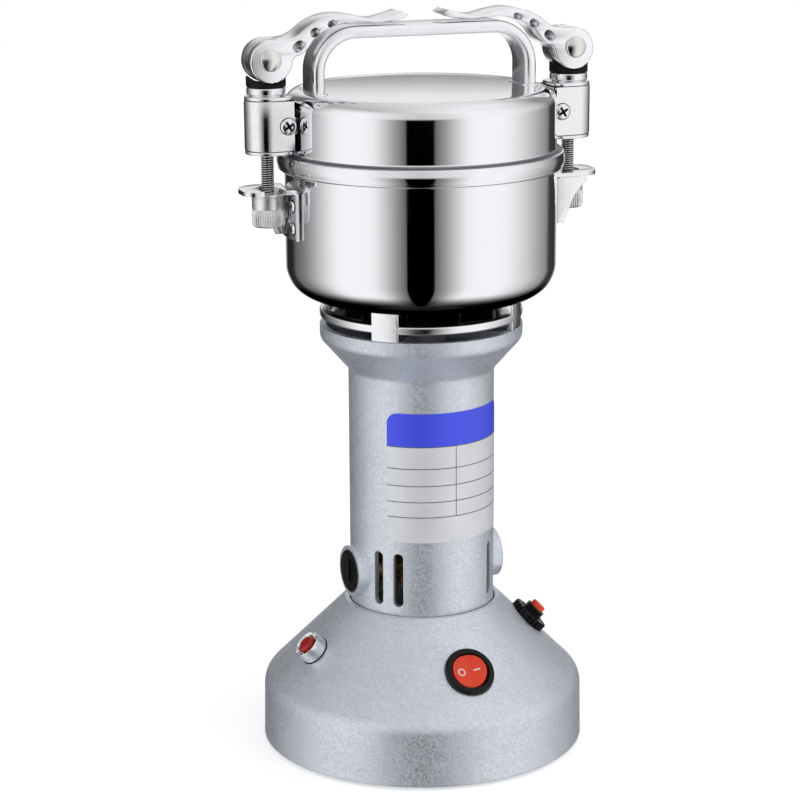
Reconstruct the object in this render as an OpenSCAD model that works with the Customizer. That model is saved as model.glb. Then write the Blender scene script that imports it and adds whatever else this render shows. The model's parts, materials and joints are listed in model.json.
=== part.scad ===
// Swing-type electric grain mill: a steel grinding bowl with a clamped lid on a motor column.
// Millimetres. +Z is up, the feet stand on z = 0 and the two latches lie along X.

/* [Base] */
// Radius of the base at its lower edge
base_r = 75; // [73:0.5:78]
// Height of the base casting, from its lower edge to the lip round the column
base_h = 66; // [64:0.5:68]
// Slope of the base's cone in degrees
base_slope = 45; // [44:0.5:46]
// Radius of the bend between the skirt and the cone
skirt_bend = 9; // [6:0.5:11]
// Radius of the neck, where the cone ends
neck_r = 36; // [35.5:0.25:36.5]
// Wall of the base and motor castings
cast_wall = 3; // [2.5:0.25:3.25]
// Height of the casting's lower edge over the ground
foot_proud = 1.5; // [1:0.25:2.5]
// Radius of a rubber foot
foot_r = 7; // [5:0.5:9]

/* [Motor column] */
// Outer radius of the motor column
column_r = 33.5; // [33:0.25:34]
// Straight height of the column above the base
column_h = 110.5; // [108:0.5:118]
// Height of the flare between column and collar
flare_h = 14.7; // [12:0.5:16]
// Height of the collar's plain band
collar_h = 6.1; // [5:0.25:8]
// How far the column reaches down into the base
column_insert = 14; // [12:0.5:16]
// Height of the brush axis over the base's lip
brush_rise = 16.3; // [15:0.5:19]
// Radius of a brush boss on the column
boss_r = 11.8; // [11:0.2:12.4]
// Turn of the motor and base against the line through the latches
motor_turn = 4.5; // [0:0.5:10]

/* [Vent ring] */
// Height of the open slot under the rib
low_slot_h = 3.5; // [2.5:0.25:5]
// Height of the rib
rib_h = 4.2; // [3:0.25:5]
// Height of the open slot over the rib
top_slot_h = 5.5; // [4:0.25:7]
// Angle that one post takes up
post_angle = 16; // [14:1:18]

/* [Bowl and lid] */
// Outer radius of the bowl's wall
bowl_r = 61.4; // [61:0.2:61.6]
// Height from the bowl's underside to the band at its rim
bowl_h = 58.4; // [57:0.5:66]
// Outer radius of the bend at the bowl's foot
bowl_bend = 15; // [13:0.5:15]
// How far the band at the rim stands out from the bowl's wall
band_proud = 3.5; // [3.3:0.1:3.8]
// Height of the band at the rim
band_h = 7.9; // [7:0.25:9]
// How far the lid's wall stands in from the bowl's
lid_inset = 0.2; // [0.2:0.1:0.6]
// Height of the lid's top over the bowl's rim
lid_h = 27.6; // [27:0.2:29]
// Radius of the lid's shoulder
lid_bend = 7; // [5:0.5:8]
// Thickness of the bowl's and the lid's sheet
sheet_t = 1.5; // [1:0.1:1.6]
// Distance from the lid's side to the handle's foot
handle_inset = 8.5; // [8:0.5:11]
// Height of the handle over the lid
handle_h = 29; // [28:0.5:30]
// Width of the handle's strap
handle_w = 18; // [16:0.5:20]
// Thickness of the handle's strap
handle_t = 5.6; // [5:0.2:6.5]
// Outer radius of the handle's corners
handle_bend = 20; // [17:0.5:22]

/* [Latches] */
// Distance of a tie rod from the bowl's wall
latch_out = 10.4; // [10.4:0.1:11]
// Radius of a tie rod
rod_r = 3; // [2.75:0.05:3]
// Distance from the tie rod to the hinge screw
pivot_inset = 7; // [6.9:0.05:7.3]
// Height of the hinge screw over the bowl's rim
pivot_rise = 14.5; // [14:0.25:15]
// Radius of the sleeve's round end
sleeve_r = 9.9; // [9.7:0.1:10.2]
// Height of the sleeve
sleeve_h = 22; // [20:0.5:22.5]
// Thickness of the sleeve's sheet
sleeve_t = 1.8; // [1.4:0.1:2]
// Height of the lever's pin over the top washer
pin_rise = 15.9; // [15.6:0.1:16.2]
// Radius of the lever's cam when it is shut
cam_r = 10.3; // [10:0.1:10.4]
// How much lower the tie rod sits with the lever open
cam_drop = 1.5; // [1:0.1:1.6]
// Length of the lever from its pin to its tip
lever_reach = 63.5; // [62:0.5:64]
// Height of the lever's tip over its pin
lever_rise = 18.9; // [20:0.2:21.5]
// Width of the lever
lever_w = 16; // [15:0.5:17]
// Radius of the thumb nut
nut_r = 7.2; // [7:0.1:7.2]
// Height of the thumb nut
nut_h = 15.2; // [13:0.2:16]
// Half width of the bracket that the thumb nut pulls on
bracket_hw = 11; // [10.5:0.25:12]
// Distance of the bracket's tip from the bowl's wall
bracket_out = 23.6; // [23:0.2:24.6]
// Thickness of the bracket's sheet
bracket_t = 2; // [1.6:0.1:2]

/* [Switch and lamp] */
// Radius of the switch's bezel
switch_r = 11.5; // [11:0.25:12]
// How much further out than the cone's middle the switch sits
switch_off = 0.75; // [-1:0.25:2.5]
// Radius of the lamp's bezel
lamp_r = 6.75; // [6:0.25:7.5]
// Height of the lamp's bezel
lamp_h = 6.5; // [5:0.25:8]
// Radius of the reset switch's nut
reset_nut_r = 9.25; // [8.5:0.25:9.75]
// Travel of the reset button
reset_travel = 1.6; // [1:0.2:2]

/* [Motor inside] */
// Radius of the motor shaft
shaft_r = 4; // [3.5:0.25:4.5]
// Radius of the armature's core
armature_r = 17.5; // [15:0.5:17.5]
// Length of the stator's stack
stack_h = 42; // [34:1:44]
// Number of slots in the armature
slot_count = 12; // [8:1:16]
// Number of fan blades
fan_count = 9; // [7:1:11]
// Gap between the lower blade's tips and the bowl's wall
blade_gap = 6.9; // [5.9:0.5:14.9]

/* [Hidden] */
$fn = 96;

// Clearances: a seat, a running fit, a gap between parts that move apart, and an overrun for cuts
seat_gap = 0.05;
run_gap = 0.05;
move_gap = 0.35;
over = 1;
// How far a screw's tip stays from the end of what it bites into
tip_gap = 1;
hex_sides = 6;
// A full and a half turn, a right angle and the steps on a rounded corner
full_turn = 360;
half_turn = 180;
right_angle = 90;
corner_steps = 8;
curve_steps = 10;

// Radii that follow the bowl; the collar carries the flat of its floor
collar_r = bowl_r - bowl_bend;
band_r = bowl_r + band_proud;
lid_r = bowl_r - lid_inset;
handle_reach = lid_r - handle_inset;
latch_x = bowl_r + latch_out;
bracket_tip = bowl_r + bracket_out;

// Heights of the stack
shell_z = foot_proud;
neck_z = shell_z + base_h;
column_z = neck_z - column_insert;
flare_z = neck_z + column_h;
collar_z = flare_z + flare_h;
collar_top = collar_z + collar_h;
rib_z = collar_top + low_slot_h;
bowl_z = rib_z + rib_h + top_slot_h;
band_z = bowl_z + bowl_h;
rim_z = band_z + band_h;
lid_top = rim_z + lid_h;
handle_top = lid_top + handle_h;

// Base: skirt, plate, bosses, feet and the socket for the column
skirt_draft = 0.5;
corner_r = base_r - skirt_draft;
corner_z = neck_z - (corner_r - neck_r) * tan(base_slope);
plate_recess = 1.2;
plate_t = 1.5;
plate_gap = 0.4;
plate_z = shell_z + plate_recess;
plate_top = plate_z + plate_t;
plate_r = corner_r - cast_wall - plate_gap;
screw_r = 1.9;
pan_r = 3.5;
pan_h = 1.7;
base_boss_r = 4;
base_boss_inset = 10.1;
base_boss_at = plate_r - base_boss_inset;
quarter = [45, 135, 225, 315];
foot_inset = 13.1;
foot_at = plate_r - foot_inset;
cone_mid = middle(neck_r, corner_r);
stud_r = 2.5;
barb_r = 3.4;
barb_h = 1.2;
screw_bite = 9;
socket_gap = 0.7;
socket_r = column_r + socket_gap;
ledge_t = 3;
ledge_r = 22.5;

// Motor column: lower bosses, brush bosses, cooling slots and the upper bearing's spider
foot_boss_r = 4;
foot_boss_at = 27.5;
foot_boss_h = 9;
flare_bend = 4;
collar_bend = 5;
brush_z = neck_z + brush_rise;
boss_proud = 3.3;
boss_face = column_r + boss_proud;
cap_r = 9.9;
cap_t = 3.5;
cap_proud = 0.5;
cap_slot_w = 2.2;
cap_slot_l = 10.4;
cap_slot_depth = 1.6;
slot_w = 4.7;
slot_h = 25.4;
slot_lift = 0.6;
slot_turns = [-46.8, -29.4, 29.4, 46.8];
bearing_r = 11;
bearing_h = 7;
bearing_lip = 1;
hub_wall = 3;
hub_r = bearing_r + hub_wall;
arm_w = 8;
arm_t = 5;
upper_hub_z = collar_top - bearing_h - bearing_lip - bearing_lip;
lower_hub_z = column_z + foot_boss_h - bearing_lip;
post_inset = 4.8;
post_at = collar_r - post_inset;
post_boss_r = 4;
post_in_r = post_at - post_boss_r;
rib_inset = 4.4;
rib_in_r = collar_r - rib_inset;
bowl_screw_bite = 5.5;
label_t = 0.25;
label_lift = 35.4;
label_z = neck_z + label_lift;
label_h = 60.5;
label_angle = 111;
label_turn = 3.5;

// Brushes, stator and rotor
holder_r = 6.5;
holder_gap = 1.5;
holder_flange_t = 3.5;
brush_r = 3;
brush_gap = 0.3;
brush_len = 11;
spring_wall = 0.8;
commutator_r = 10.5;
commutator_h = 19;
commutator_bars = 24;
bar_slit_w = 0.6;
bar_slit_depth = 1.2;
stack_lift = 36;
stack_z = brush_z + stack_lift;
stator_r = column_r - cast_wall - seat_gap;
yoke_t = 5.6;
pole_gap = 0.7;
pole_half_angle = 36;
coil_gap_angle = 1.6;
coil_angle = 15;
coil_end_h = 9;
coil_gap = 1;
coil_r = armature_r + pole_gap + coil_gap;
winding_inset = 2;
winding_r = armature_r - winding_inset;
winding_h = 11;
winding_gap = 1;
tooth_slot_w = 2.6;
tooth_slot_depth = 7;
wire_gap = 0.15;
fan_clear = 2.1;
fan_r = post_in_r - fan_clear;
fan_hub_r = 8;
fan_gap = 1.5;
fan_disc_t = 1.5;
fan_blade_t = 1.2;
fan_blade_inset = 1;
fan_top_gap = 2.5;

// Grinding chamber: the seal, the blades and their nut
seal_hole_r = 9;
seal_flange_r = 13;
seal_flange_t = 2.5;
seal_under = 1.5;
shaft_step_r = 6.5;
shaft_step_h = 3;
seal_clear = 0.6;
thread_step = 0.5;
thread_r = shaft_r - thread_step;
blade_t = 1.8;
blade_w = 16;
blade_cut = 5.6;
spacer_h = 13;
spacer_r = 6.5;
upper_inset = 9.5;
upper_tip_h = 11;
upper_tip_w = 14.3;
upper_bend = 4;
blade_reach = bowl_r - sheet_t - blade_gap;
blade_nut_r = 7.5;
blade_nut_h = 6.5;
chamber_floor = bowl_z + sheet_t;
step_z = chamber_floor + seal_flange_t + seal_clear;
lower_blade_z = step_z + shaft_step_h;
spacer_z = lower_blade_z + blade_t;
upper_blade_z = spacer_z + spacer_h;
blade_nut_z = upper_blade_z + blade_t;
thread_over = 2;

// Bowl rim, gasket and lid
shelf_in_bend = 0.5;
band_bend = 2;
gasket_h = 1.8;
gasket_inset = 0.5;
gasket_w = 1.9;
band_in_r = band_r - sheet_t;
lid_gap = 0.5;
flare_lid_r = band_in_r - lid_gap;
flare_lid_h = 4;
flare_lid_rise = 1.7;
flare_lid_bend = 2;
lid_foot = band_z + sheet_t + gasket_h;
handle_bite = 8;
handle_screw_y = 5;

// Latches, in a frame with the tie rod at x = latch_x
pivot_x = latch_x - pivot_inset;
pivot_z = rim_z + pivot_rise;
hinge_r = 1.7;
hinge_head_r = 3.6;
hinge_head_h = 1.5;
hinge_screw_gap = 0.4;
nose_r = pivot_inset - rod_r - move_gap;
sleeve_z = pivot_z - sleeve_h / 2;
sleeve_gap = 0.7;
sleeve_end = lid_r + sleeve_gap;
washer_t = 1.8;
washer_inset = 0.2;
washer_r = sleeve_r - washer_inset;
washer_bend = 4;
washer_clear = 0.6;
ring_r = 8.65;
ring_h = 3.4;
ring_gap = 0.5;
ring_step = 1;
pad_r = 8.8;
pad_side_h = 5.4;
saddle_gap = 0.25;
saddle_rise = 1.2;
sleeve_top = sleeve_z + sleeve_h;
washer_top = sleeve_top + washer_t;
ring_z = washer_top + ring_gap;
pad_z = ring_z + ring_h;
pin_z = washer_top + pin_rise;
eye_r = 5.6;
eye_w = 6;
pin_r = 2.6;
pin_head_r = 4.8;
pin_head_h = 1;
pin_dome = 1.4;
fork_w = eye_w + 2 * move_gap;
flange_drop = 7.6;
flange_z = band_z - flange_drop;
bracket_bend = 5;
slot_in_gap = 1;
slot_out_gap = 2.6;
slot_in_r = latch_x - rod_r - slot_in_gap;
slot_out_r = latch_x + rod_r + slot_out_gap;
leg_h = 21;
leg_back = 1.6;
gusset_w = 15.8;
nut_rib_h = 8;
nut_flare_h = 2.2;
nut_lip = 0.1;
nut_flare = 0.8;
nut_z = flange_z - seat_gap - nut_h;
nut_ribs = 28;
nut_rib_depth = 0.5;
rod_foot = 1;
rivet_r = 1.6;
rivet_head_r = 2.7;
rivet_head_h = 0.8;
rivet_turn = 7;
rivet_drops = [5.8, 15.8];

// Outline of the bracket's gusset: shares of its width and of the leg's height
gusset_shares = [[0.93, 0], [1.03, 0.08], [0.88, 0.17], [0.67, 0.33], [0.56, 0.47], [0.47, 0.63],
  [0.38, 0.8], [0.3, 0.93], [0.27, 1]];

// Lever outline: shares of its reach and its rise, from the pin to the tip
top_shares = [[0.008, 0.466], [0.11, 0.455], [0.189, 0.529], [0.276, 0.772], [0.378, 0.942], [0.504, 1],
  [0.63, 0.931], [0.756, 0.825], [0.866, 0.91], [0.96, 1]];
under_shares = [[1, 0.921], [0.97, 0.825], [0.898, 0.794], [0.787, 0.757], [0.661, 0.794], [0.535, 0.799],
  [0.417, 0.667], [0.323, 0.497], [0.265, 0.19], [0.214, 0.079]];
notch_shares = [[0.19, 0.079], [0.16, -0.04]];
hole_shares = [[0.2, 0.3], [0.32, 0.6], [0.444, 0.785]];
hole_size_shares = [[0.046, 0.033], [0.038, 0.03], [0.034, 0.023]];
hole_tilts = [38, 34, 20];
// The lever's cam: its angle of fall, and where its outline starts, steps and ends
cam_fall = 100;
cam_from = -84;
cam_step = 6;
cam_to = 180;

// Switch, lamp, reset switch and cord gland
switch_turn = -2;
bezel_h = 2;
bezel_seat = 0.9;
barrel_r = 10;
barrel_h = 17;
rocker_r = 8.1;
rocker_gap = 0.35;
rocker_depth = 6;
rocker_top = 4.9;
rocker_dip = 1.8;
rocker_taper = 0.5;
rocker_waist = 1.8;
rocker_tilt = 7;
rocker_axis = -2;
trunnion_r = 1.2;
cavity_depth = 9.5;
tab_w = 4.8;
tab_t = 0.8;
tab_h = 7;
tab_at = 5;
switch_at = cone_mid + switch_off;
lamp_turn = -87.5;
lamp_off = 0.25;
lamp_at = cone_mid + lamp_off;
lamp_seat = 0.4;
lamp_wall = 2.1;
lamp_barrel_r = 4;
lamp_barrel_h = 14;
lens_r = lamp_r - lamp_wall - seat_gap;
lens_floor = 1.2;
lens_dome = 1.2;
reset_turn = 72.5;
reset_off = 5.25;
reset_at = cone_mid - reset_off;
reset_seat = 0.7;
reset_nut_h = 3.4;
reset_neck_r = 4.9;
reset_neck_h = 6.6;
breaker_w = 14;
breaker_h = 22;
breaker_out = 8;
reset_hole_r = 5.2;
button_r = 3.5;
button_proud = 2.3;
button_depth = 8;
gland_turn = 180;
gland_off = 1.75;
gland_at = cone_mid + gland_off;
gland_r = 7.5;
gland_nose_r = 5.2;
gland_nose_h = 7;
gland_flange_h = 1.6;
gland_step = 1;
gland_seat = 0.6;
gland_bore_r = 3.3;
gland_tail_r = 5.5;
gland_tail_h = 8;

// Colours
cast_grey = [0.66, 0.68, 0.7];
steel = [0.82, 0.83, 0.84];
polished = [0.9, 0.91, 0.92];
black = [0.06, 0.06, 0.07];
red = [0.85, 0.12, 0.06];
copper = [0.72, 0.42, 0.2];
brass = [0.78, 0.63, 0.32];
nickel = [0.62, 0.57, 0.5];
label_grey = [0.75, 0.77, 0.82];
carbon = [0.15, 0.15, 0.16];
silicone = [0.85, 0.85, 0.82];

// Points: a corner rounded with an arc, a path with all its corners rounded, and the path beside it
function unit(v) = v / norm(v);
function turned(v, a) = [v.x * cos(a) - v.y * sin(a), v.x * sin(a) + v.y * cos(a)];
function rounded(a, b, c, r) =
  let(u = unit(a - b), v = unit(c - b), half = acos(u * v) / 2, mid = b + unit(u + v) * r / sin(half),
      start = b + u * r / tan(half) - mid, way = sign(cross(v, u)))
  [for (i = [0:corner_steps]) mid + turned(start, way * (half_turn - 2 * half) * i / corner_steps)];
function smooth(path, bends) = [for (i = [0:len(path) - 1]) each
  bends[i] == 0 ? [path[i]] : rounded(path[i - 1], path[i], path[i + 1], bends[i])];
function left_of(a, b) = let(d = unit(b - a)) [-d.y, d.x];
function beside(path, w) = let(last = len(path) - 1) [for (i = [0:last])
  let(m = left_of(path[max(i - 1, 0)], path[max(i, 1)]),
      n = left_of(path[min(i, last - 1)], path[min(i + 1, last)]))
  path[i] + (m + n) * w / (1 + m * n)];
function reversed(path) = [for (i = [len(path) - 1:-1:0]) path[i]];
function sheet(path, w) = concat(path, reversed(beside(path, w)));
// A smooth curve through the middles of a row of control points, from the first to the last
function middle(a, b) = (a + b) / 2;
function curve(p) = concat([p[0]], [for (i = [1:len(p) - 2]) each
  let(a = middle(p[i - 1], p[i]), c = middle(p[i], p[i + 1]))
  [for (k = [0:curve_steps - 1]) let(t = k / curve_steps)
    a * (1 - t) * (1 - t) + p[i] * 2 * t * (1 - t) + c * t * t]], [p[len(p) - 1]]);

function cone_z(r) = neck_z - (r - neck_r) * tan(base_slope);

module revolve(path) {
  rotate_extrude() polygon(path);
}

module ring(outer, inner, h) {
  difference() {
    cylinder(r = outer, h = h);
    translate([0, 0, -over]) cylinder(r = inner, h = h + 2 * over);
  }
}

// A profile swept round the axis through an angle, with its middle towards the front
module wedge(angle) {
  rotate([0, 0, -right_angle - angle / 2]) rotate_extrude(angle = angle) children();
}

module sector(outer, inner, h, angle) {
  wedge(angle) translate([inner, 0]) square([outer - inner, h]);
}

// Places on the part: round the motor's front, on the base's cone, out through a brush boss
module round_motor(turn, at) {
  rotate([0, 0, motor_turn + turn]) translate([0, -at, 0]) children();
}

module on_cone(turn, at) {
  round_motor(turn, at) translate([0, 0, cone_z(at)]) rotate([base_slope, 0, 0]) children();
}

module at_brushes() {
  for (side = [-1, 1])
    round_motor(side * right_angle, 0) translate([0, 0, brush_z]) rotate([right_angle, 0, 0]) children();
}

module pan_screw(length) {
  cylinder(r = screw_r, h = length);
  translate([0, 0, length]) cylinder(r1 = pan_r, r2 = pan_r - pan_h / 2, h = pan_h);
}

module screw_hole(length) {
  translate([0, 0, -over]) cylinder(r = screw_r + seat_gap, h = length + 2 * over);
}

// Base
module base_shell() {
  roof = smooth([[base_r, shell_z], [corner_r, corner_z], [neck_r, neck_z]], [0, skirt_bend, 0]);
  filled = concat(roof, [[socket_r, neck_z], [socket_r, shell_z]]);
  boss_top = cone_z(base_boss_at + base_boss_r) - cast_wall / 2;
  color(cast_grey) difference() {
    union() {
      rotate_extrude() difference() {
        union() {
          polygon(sheet(roof, cast_wall));
          intersection() {
            polygon(filled);
            translate([socket_r, column_z - ledge_t]) square([cast_wall, column_insert + ledge_t]);
          }
          translate([ledge_r, column_z - ledge_t]) square([socket_r + cast_wall - ledge_r, ledge_t]);
        }
        translate([0, column_z]) square([socket_r, column_insert + over]);
      }
      for (turn = quarter) round_motor(turn, base_boss_at)
        translate([0, 0, plate_top]) cylinder(r = base_boss_r, h = boss_top - plate_top);
    }
    for (turn = quarter) {
      round_motor(turn, base_boss_at) translate([0, 0, plate_top]) screw_hole(screw_bite - tip_gap);
      round_motor(turn, foot_boss_at) translate([0, 0, column_z - ledge_t]) screw_hole(ledge_t);
    }
    on_cone(switch_turn, switch_at) {
      translate([0, 0, -bezel_seat]) cylinder(r = switch_r + seat_gap, h = bezel_seat + 2 * over);
      translate([0, 0, -barrel_h]) cylinder(r = barrel_r + seat_gap, h = barrel_h);
    }
    on_cone(lamp_turn, lamp_at) {
      translate([0, 0, -lamp_seat]) cylinder(r = lamp_r + seat_gap, h = lamp_seat + 2 * over);
      translate([0, 0, -lamp_barrel_h]) cylinder(r = lamp_barrel_r + seat_gap, h = lamp_barrel_h);
    }
    on_cone(reset_turn, reset_at) {
      translate([0, 0, -reset_seat]) cylinder(r = reset_nut_r + seat_gap, h = reset_seat + 2 * over);
      translate([0, 0, -cast_wall - over]) cylinder(r = reset_hole_r, h = cast_wall + over);
    }
    on_cone(gland_turn, gland_at) {
      translate([0, 0, -gland_seat]) cylinder(r = gland_r + seat_gap, h = gland_seat + 2 * over);
      translate([0, 0, -gland_tail_h]) cylinder(r = gland_tail_r + seat_gap, h = gland_tail_h);
    }
  }
}

module base_plate() {
  color(steel) difference() {
    translate([0, 0, plate_z]) cylinder(r = plate_r, h = plate_t);
    for (turn = quarter) {
      round_motor(turn, base_boss_at) translate([0, 0, plate_z]) screw_hole(plate_t);
      round_motor(turn + quarter[0], foot_at) translate([0, 0, plate_z - over])
        cylinder(r = stud_r + seat_gap, h = plate_t + 2 * over);
    }
  }
}

module rubber_feet() {
  color(black) for (turn = quarter) round_motor(turn + quarter[0], foot_at) {
    cylinder(r = foot_r, h = plate_z);
    cylinder(r = stud_r, h = plate_top);
    translate([0, 0, plate_top]) cylinder(r1 = barb_r, r2 = stud_r, h = barb_h);
  }
}

module plate_screws() {
  color(steel) for (turn = quarter) round_motor(turn, base_boss_at)
    translate([0, 0, plate_z + screw_bite]) mirror([0, 0, 1]) pan_screw(screw_bite);
}

// Motor column
housing_path = smooth(
  [[column_r, column_z], [column_r, flare_z], [collar_r, collar_z], [collar_r, collar_top]],
  [0, flare_bend, collar_bend, 0]);

module spider(z, reach) {
  for (turn = quarter) round_motor(turn, 0)
    translate([-arm_w / 2, -reach, z]) cube([arm_w, reach - bearing_r - hub_wall / 2, arm_t]);
}

module bearing_hub(z) {
  difference() {
    translate([0, 0, z]) cylinder(r = hub_r, h = bearing_h + 2 * bearing_lip);
    translate([0, 0, z + bearing_lip])
      cylinder(r = bearing_r + seat_gap, h = bearing_h + over + bearing_lip);
    translate([0, 0, z - over]) cylinder(r = bearing_r - bearing_lip, h = bearing_lip + 2 * over);
  }
}

module cooling_slot() {
  rotate([right_angle, 0, 0]) linear_extrude(column_r + over) union() {
    for (end = [0, 1]) translate([0, slot_w / 2 + end * (slot_h - slot_w)]) circle(r = slot_w / 2);
    translate([-slot_w / 2, slot_w / 2]) square([slot_w, slot_h - slot_w]);
  }
}

module motor_housing() {
  color(cast_grey) difference() {
    union() {
      revolve(sheet(housing_path, cast_wall));
      spider(collar_top - bearing_lip - arm_t, collar_r - cast_wall / 2);
      for (turn = quarter) round_motor(turn, post_at) translate([0, 0, collar_top - bowl_screw_bite])
        cylinder(r = post_boss_r, h = bowl_screw_bite);
      bearing_hub(upper_hub_z);
      for (turn = quarter) round_motor(turn, foot_boss_at) translate([0, 0, column_z])
        cylinder(r = foot_boss_r, h = foot_boss_h);
      difference() {
        at_brushes() cylinder(r = boss_r, h = boss_face);
        translate([0, 0, column_z]) cylinder(r = column_r - cast_wall, h = column_h);
      }
    }
    at_brushes() cylinder(r = cap_r + seat_gap, h = boss_face + over);
    for (side = [-1, 1], turn = slot_turns)
      rotate([0, 0, motor_turn + side * right_angle + turn])
        translate([0, -column_r + cast_wall + over, brush_z - slot_h / 2 + slot_lift])
          cooling_slot();
    for (turn = quarter) {
      round_motor(turn, foot_boss_at) translate([0, 0, column_z]) screw_hole(foot_boss_h);
      round_motor(turn, post_at) translate([0, 0, collar_top - bowl_screw_bite]) screw_hole(bowl_screw_bite);
    }
  }
}

module housing_screws() {
  length = ledge_t + foot_boss_h + arm_t - tip_gap;
  color(steel) for (turn = quarter) round_motor(turn, foot_boss_at)
    translate([0, 0, column_z - ledge_t + length]) mirror([0, 0, 1]) pan_screw(length);
}

module bearing_bridge() {
  color(cast_grey) difference() {
    union() {
      bearing_hub(lower_hub_z);
      difference() {
        union() {
          spider(column_z + foot_boss_h, foot_boss_at);
          for (turn = quarter) round_motor(turn, foot_boss_at - seat_gap)
            translate([0, 0, column_z + foot_boss_h])
              cylinder(r = column_r - cast_wall - foot_boss_at, h = arm_t);
        }
        translate([0, 0, column_z]) cylinder(r = bearing_r + seat_gap, h = column_insert + bearing_h);
      }
    }
    for (turn = quarter) round_motor(turn, foot_boss_at) translate([0, 0, column_z + foot_boss_h])
      screw_hole(arm_t);
  }
}

module bearing(z) {
  groove = 0.4;
  color(steel) difference() {
    translate([0, 0, z]) ring(bearing_r, shaft_r + run_gap, bearing_h);
    for (face = [z - over, z + bearing_h - groove]) translate([0, 0, face])
      ring(bearing_r - hub_wall / 2, shaft_r + hub_wall / 2, over + groove);
  }
}

module upper_bearing() {
  bearing(upper_hub_z + bearing_lip);
}

module lower_bearing() {
  bearing(lower_hub_z + bearing_lip);
}

module vent_ring() {
  out = collar_r + over;
  in = post_in_r - over;
  color(polished) difference() {
    translate([0, 0, collar_top]) ring(collar_r, post_in_r, bowl_z - collar_top);
    for (turn = quarter) round_motor(turn + quarter[0], 0) wedge(right_angle - post_angle)
      polygon([[in, collar_top - over], [out, collar_top - over], [out, rib_z], [rib_in_r, rib_z],
        [rib_in_r, rib_z + rib_h], [out, rib_z + rib_h], [out, bowl_z + over], [in, bowl_z + over]]);
    for (turn = quarter) round_motor(turn, post_at) translate([0, 0, collar_top])
      screw_hole(bowl_z - collar_top);
  }
}

module rating_label() {
  color(label_grey) round_motor(label_turn, 0) translate([0, 0, label_z])
    sector(column_r + seat_gap + label_t, column_r + seat_gap, label_h, label_angle);
}

// Brushes
module brush_holders() {
  inner_end = commutator_r + brush_gap + holder_gap;
  flange_end = boss_face + cap_proud - cap_t;
  color(brass) at_brushes() difference() {
    union() {
      translate([0, 0, inner_end]) cylinder(r = holder_r, h = flange_end - inner_end);
      translate([0, 0, flange_end - holder_flange_t]) cylinder(r = cap_r, h = holder_flange_t);
    }
    cylinder(r = brush_r + seat_gap, h = boss_face);
  }
}

module carbon_brushes() {
  color(carbon) at_brushes() translate([0, 0, commutator_r + brush_gap])
    cylinder(r = brush_r, h = brush_len);
}

module brush_springs() {
  start = commutator_r + brush_gap + brush_len;
  color(steel) at_brushes() translate([0, 0, start])
    ring(brush_r - seat_gap, brush_r - spring_wall, boss_face + cap_proud - cap_t - start);
}

module brush_caps() {
  color(black) at_brushes() difference() {
    translate([0, 0, boss_face + cap_proud - cap_t]) cylinder(r = cap_r, h = cap_t);
    translate([-cap_slot_w / 2, -cap_slot_l / 2, boss_face + cap_proud - cap_slot_depth])
      cube([cap_slot_w, cap_slot_l, cap_slot_depth + over]);
  }
}

// Motor
module stator_core() {
  color(steel) translate([0, 0, stack_z]) union() {
    ring(stator_r, stator_r - yoke_t, stack_h);
    for (turn = [0, half_turn]) round_motor(turn, 0)
      sector(stator_r - yoke_t / 2, armature_r + pole_gap, stack_h, 2 * pole_half_angle);
  }
}

module field_coils() {
  outer = stator_r - yoke_t - seat_gap;
  window = pole_half_angle + coil_gap_angle;
  color(copper) for (turn = [0, half_turn]) round_motor(turn, 0) difference() {
    translate([0, 0, stack_z - coil_end_h])
      sector(outer, coil_r, stack_h + 2 * coil_end_h, 2 * (window + coil_angle));
    translate([0, 0, stack_z - seat_gap])
      sector(outer + over, coil_r - over, stack_h + 2 * seat_gap, 2 * window);
  }
}

module rotor_shaft() {
  bottom = lower_hub_z + bearing_lip;
  top = blade_nut_z + blade_nut_h + thread_over;
  color(steel) {
    translate([0, 0, bottom]) cylinder(r = shaft_r, h = step_z - bottom);
    translate([0, 0, step_z]) cylinder(r = shaft_step_r, h = shaft_step_h);
    translate([0, 0, lower_blade_z]) cylinder(r = thread_r, h = top - lower_blade_z);
  }
}

module armature_slots(slot_width, depth) {
  for (i = [0:slot_count - 1]) rotate(i * full_turn / slot_count)
    translate([-slot_width / 2, armature_r - depth]) square([slot_width, depth + over]);
}

module armature_core() {
  color(steel) translate([0, 0, stack_z]) linear_extrude(stack_h) difference() {
    circle(r = armature_r);
    circle(r = shaft_r + seat_gap);
    armature_slots(tooth_slot_w, tooth_slot_depth);
  }
}

module armature_windings() {
  inner = shaft_r + seat_gap;
  wire_in = armature_r - tooth_slot_depth + wire_gap;
  wire_w = tooth_slot_w - 2 * wire_gap;
  bulge = smooth(
    [[inner, winding_gap], [winding_r, winding_gap], [winding_r, winding_h], [inner, winding_h]],
    [0, 0, winding_h / 2, 0]);
  color(copper) {
    translate([0, 0, stack_z + stack_h]) revolve(bulge);
    translate([0, 0, stack_z]) mirror([0, 0, 1]) revolve(bulge);
    for (i = [0:slot_count - 1]) rotate([0, 0, i * full_turn / slot_count])
      translate([-wire_w / 2, wire_in, stack_z - 2 * winding_gap])
        cube([wire_w, winding_r - wire_gap - wire_in, stack_h + 4 * winding_gap]);
  }
}

module commutator() {
  color(copper) translate([0, 0, brush_z - commutator_h / 2]) linear_extrude(commutator_h) difference() {
    circle(r = commutator_r);
    circle(r = shaft_r + seat_gap);
    for (i = [0:commutator_bars - 1]) rotate(i * full_turn / commutator_bars)
      translate([-bar_slit_w / 2, commutator_r - bar_slit_depth])
        square([bar_slit_w, bar_slit_depth + over]);
  }
}

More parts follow.
